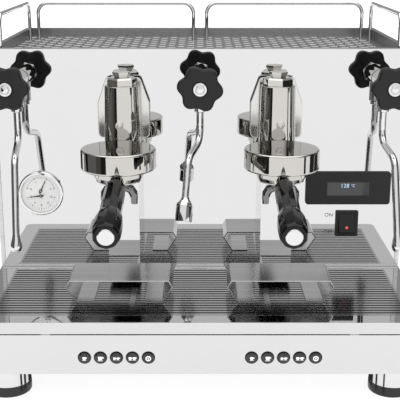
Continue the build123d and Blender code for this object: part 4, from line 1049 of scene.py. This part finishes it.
# screws: domed heads with a socket round the rear panel and along each side panel
screws = {
    "profile": [(0, -0.5), (4.2, -0.5), (4.2, 0.5), (3.6, 1.4), (2.2, 1.9), (1.6, 1.9), (1.6, 0.7), (0, 0.7)],
    "steps": 20,
    "rearX": [-285.0, 0.0, 285.0],
    "rearZ": [50.0, 240.0, 424.0],
    "sideZ": [50.0, 424.0],
    "sideAhead": [-280.0, -150.0, -20.0],
}


def makeScrews():
    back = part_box("rear_panel")[1][1]
    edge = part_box("right_side_panel")[1][0]
    spots = [((x * mm, back, z * mm), -forward) for x in screws["rearX"] for z in screws["rearZ"]]
    for sign in sides.values():
        spots += [((edge * sign, splashY - ahead * mm, z * mm), Vector((sign, 0, 0)))
                  for ahead in screws["sideAhead"] for z in screws["sideZ"]]
    bm = bmesh.new()
    for spot, axis in spots:
        revolved(bm, screws["profile"], Vector(spot), axis, screws["steps"])
    meshPiece("panelScrews", bm, "brightChrome", "machine", "chrome", 40)


makeScrews()
print("screws made")

# studio: pale floor, soft sky with a bright top, and dark flags that only the chrome sees
studio = {
    "floorRadius": 14.0,
    "floorDrop": 0.1,
    "floorColor": grey(0.3),
    "floorRoughness": 0.8,
    "floorShine": 0.1,
    "floorGlow": 0.88,
    "skyTop": 2.6,
    "skyFront": 1.2,
    "skyBack": 0.42,
    "skySide": 0.3,
    "skySeen": 1.1,
    # where the sky turns from front to back, from the middle to the sides, and from these to the top
    "depthRange": (-0.6, 0.6),
    "sideRange": (0.6, 0.9),
    "topRange": (0.72, 0.86),
    # from and to in degrees round from the front, then the grey
    "flagRadius": 1.15,
    "flagHeight": 1.1,
    "flags": [(-112, -92, 0.01), (-92, -62, 0.16), (-62, -48, 0.09), (-48, -34, 0.02), (62, 68, 0.03),
              (82, 140, 0.03)],
    # small ones round the front feet
    "footFlagRadius": 0.041,
    "footFlagHeight": 0.0375,
    "footFlags": [(-130, -80, 0.03), (-66, -58, 0.05), (-36, -30, 0.12), (48, 56, 0.05), (64, 74, 0.05),
                  (88, 130, 0.03)],
    "footRadius": 29.5,
    "flagStep": 4,
    "flagTint": (1.0, 0.97, 0.92),
    "lens": 82.7,
    "cameraAhead": 1304,
    "cameraHeight": 588,
    "cameraDown": 16.0,
    "clip": (0.05, 60.0),
}


def stagePiece(name, bm, material):
    mesh = bpy.data.meshes.new(name)
    bm.to_mesh(mesh)
    bm.free()
    mesh.materials.append(material)
    piece = bpy.data.objects.new(name, mesh)
    bpy.context.scene.collection.objects.link(piece)
    return piece


def makeFloor():
    bm = bmesh.new()
    bmesh.ops.create_circle(bm, cap_ends=True, radius=studio["floorRadius"], segments=96)
    material = glowing(startMaterial("floorPaper", studio["floorColor"], studio["floorRoughness"])[0],
                       studio["floorGlow"])
    floor = stagePiece("studioFloor", bm, shinier(material, studio["floorShine"]))
    floor.location.z = -studio["floorDrop"] * mm


def makeFlag(index, centre, radius, height, start, end, level):
    bm = bmesh.new()
    steps = max(2, int((end - start) / studio["flagStep"]))
    rows = []
    for step in range(steps + 1):
        turn = radians(start + (end - start) * step / steps)
        x, y = centre[0] + radius * sin(turn), centre[1] - radius * cos(turn)
        rows.append([bm.verts.new((x, y, z)) for z in (0.0, height)])
    for a, b in zip(rows, rows[1:]):
        bm.faces.new((a[0], b[0], b[1], a[1]))
    material = bpy.data.materials.new(f"flagCloth{index}")
    material.use_nodes = True
    tree = material.node_tree
    tree.nodes.clear()
    glow = newNode(tree, "ShaderNodeEmission")
    glow.inputs["Color"].default_value = (*(level * tint for tint in studio["flagTint"]), 1)
    feed(tree, newNode(tree, "ShaderNodeOutputMaterial").inputs["Surface"], glow.outputs[0])
    flag = stagePiece(f"studioFlag{index}", bm, material)
    flag.visible_camera = flag.visible_diffuse = flag.visible_shadow = False


def makeFlags():
    low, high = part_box("foot_sleeves")
    reach = studio["footRadius"] * mm
    arcs = [((0, 0), studio["flagRadius"], studio["flagHeight"], *arc) for arc in studio["flags"]]
    for x in (low[0] + reach, high[0] - reach):
        arcs += [((x, low[1] + reach), studio["footFlagRadius"], studio["footFlagHeight"], *arc)
                 for arc in studio["footFlags"]]
    for index, arc in enumerate(arcs):
        makeFlag(index, *arc)


def makeSky():
    world = bpy.data.worlds.new("studioSky")
    bpy.context.scene.world = world
    world.use_nodes = True
    tree = world.node_tree
    tree.nodes.clear()
    parts = newNode(tree, "ShaderNodeSeparateXYZ")
    feed(tree, parts.inputs[0], newNode(tree, "ShaderNodeTexCoord").outputs["Generated"])
    x, y, z = parts.outputs
    # front to back, then the sides, then the top over both
    ahead = rangeNode(tree, y, *studio["depthRange"], studio["skyFront"], studio["skyBack"])
    beside = rangeNode(tree, mathNode(tree, "ABSOLUTE", x), *studio["sideRange"])
    low = mixNode(tree, "FLOAT", beside, ahead, studio["skySide"])
    total = mixNode(tree, "FLOAT", rangeNode(tree, z, *studio["topRange"]), low, studio["skyTop"])
    choose = newNode(tree, "ShaderNodeMixShader")
    feed(tree, choose.inputs[0], newNode(tree, "ShaderNodeLightPath").outputs["Is Camera Ray"])
    for socket, strength in zip(choose.inputs[1:], (total, studio["skySeen"])):
        sky = newNode(tree, "ShaderNodeBackground")
        feed(tree, sky.inputs["Strength"], strength)
        feed(tree, socket, sky.outputs[0])
    # the last of the two is what the camera sees, and it is pure white
    sky.inputs["Color"].default_value = (1, 1, 1, 1)
    feed(tree, newNode(tree, "ShaderNodeOutputWorld").inputs["Surface"], choose.outputs[0])


def makeCamera():
    camera = bpy.data.cameras.new("productCamera")
    camera.lens = studio["lens"]
    camera.sensor_width = 36.0
    camera.clip_start, camera.clip_end = studio["clip"]
    holder = bpy.data.objects.new("productCamera", camera)
    holder.location = place(0, studio["cameraAhead"], studio["cameraHeight"])
    holder.rotation_euler = (radians(90 - studio["cameraDown"]), 0, 0)
    bpy.context.scene.collection.objects.link(holder)
    bpy.context.scene.camera = holder
    bpy.context.scene.view_settings.view_transform = "Standard"


makeFloor()
makeFlags()
makeSky()
makeCamera()
print("studio ready")
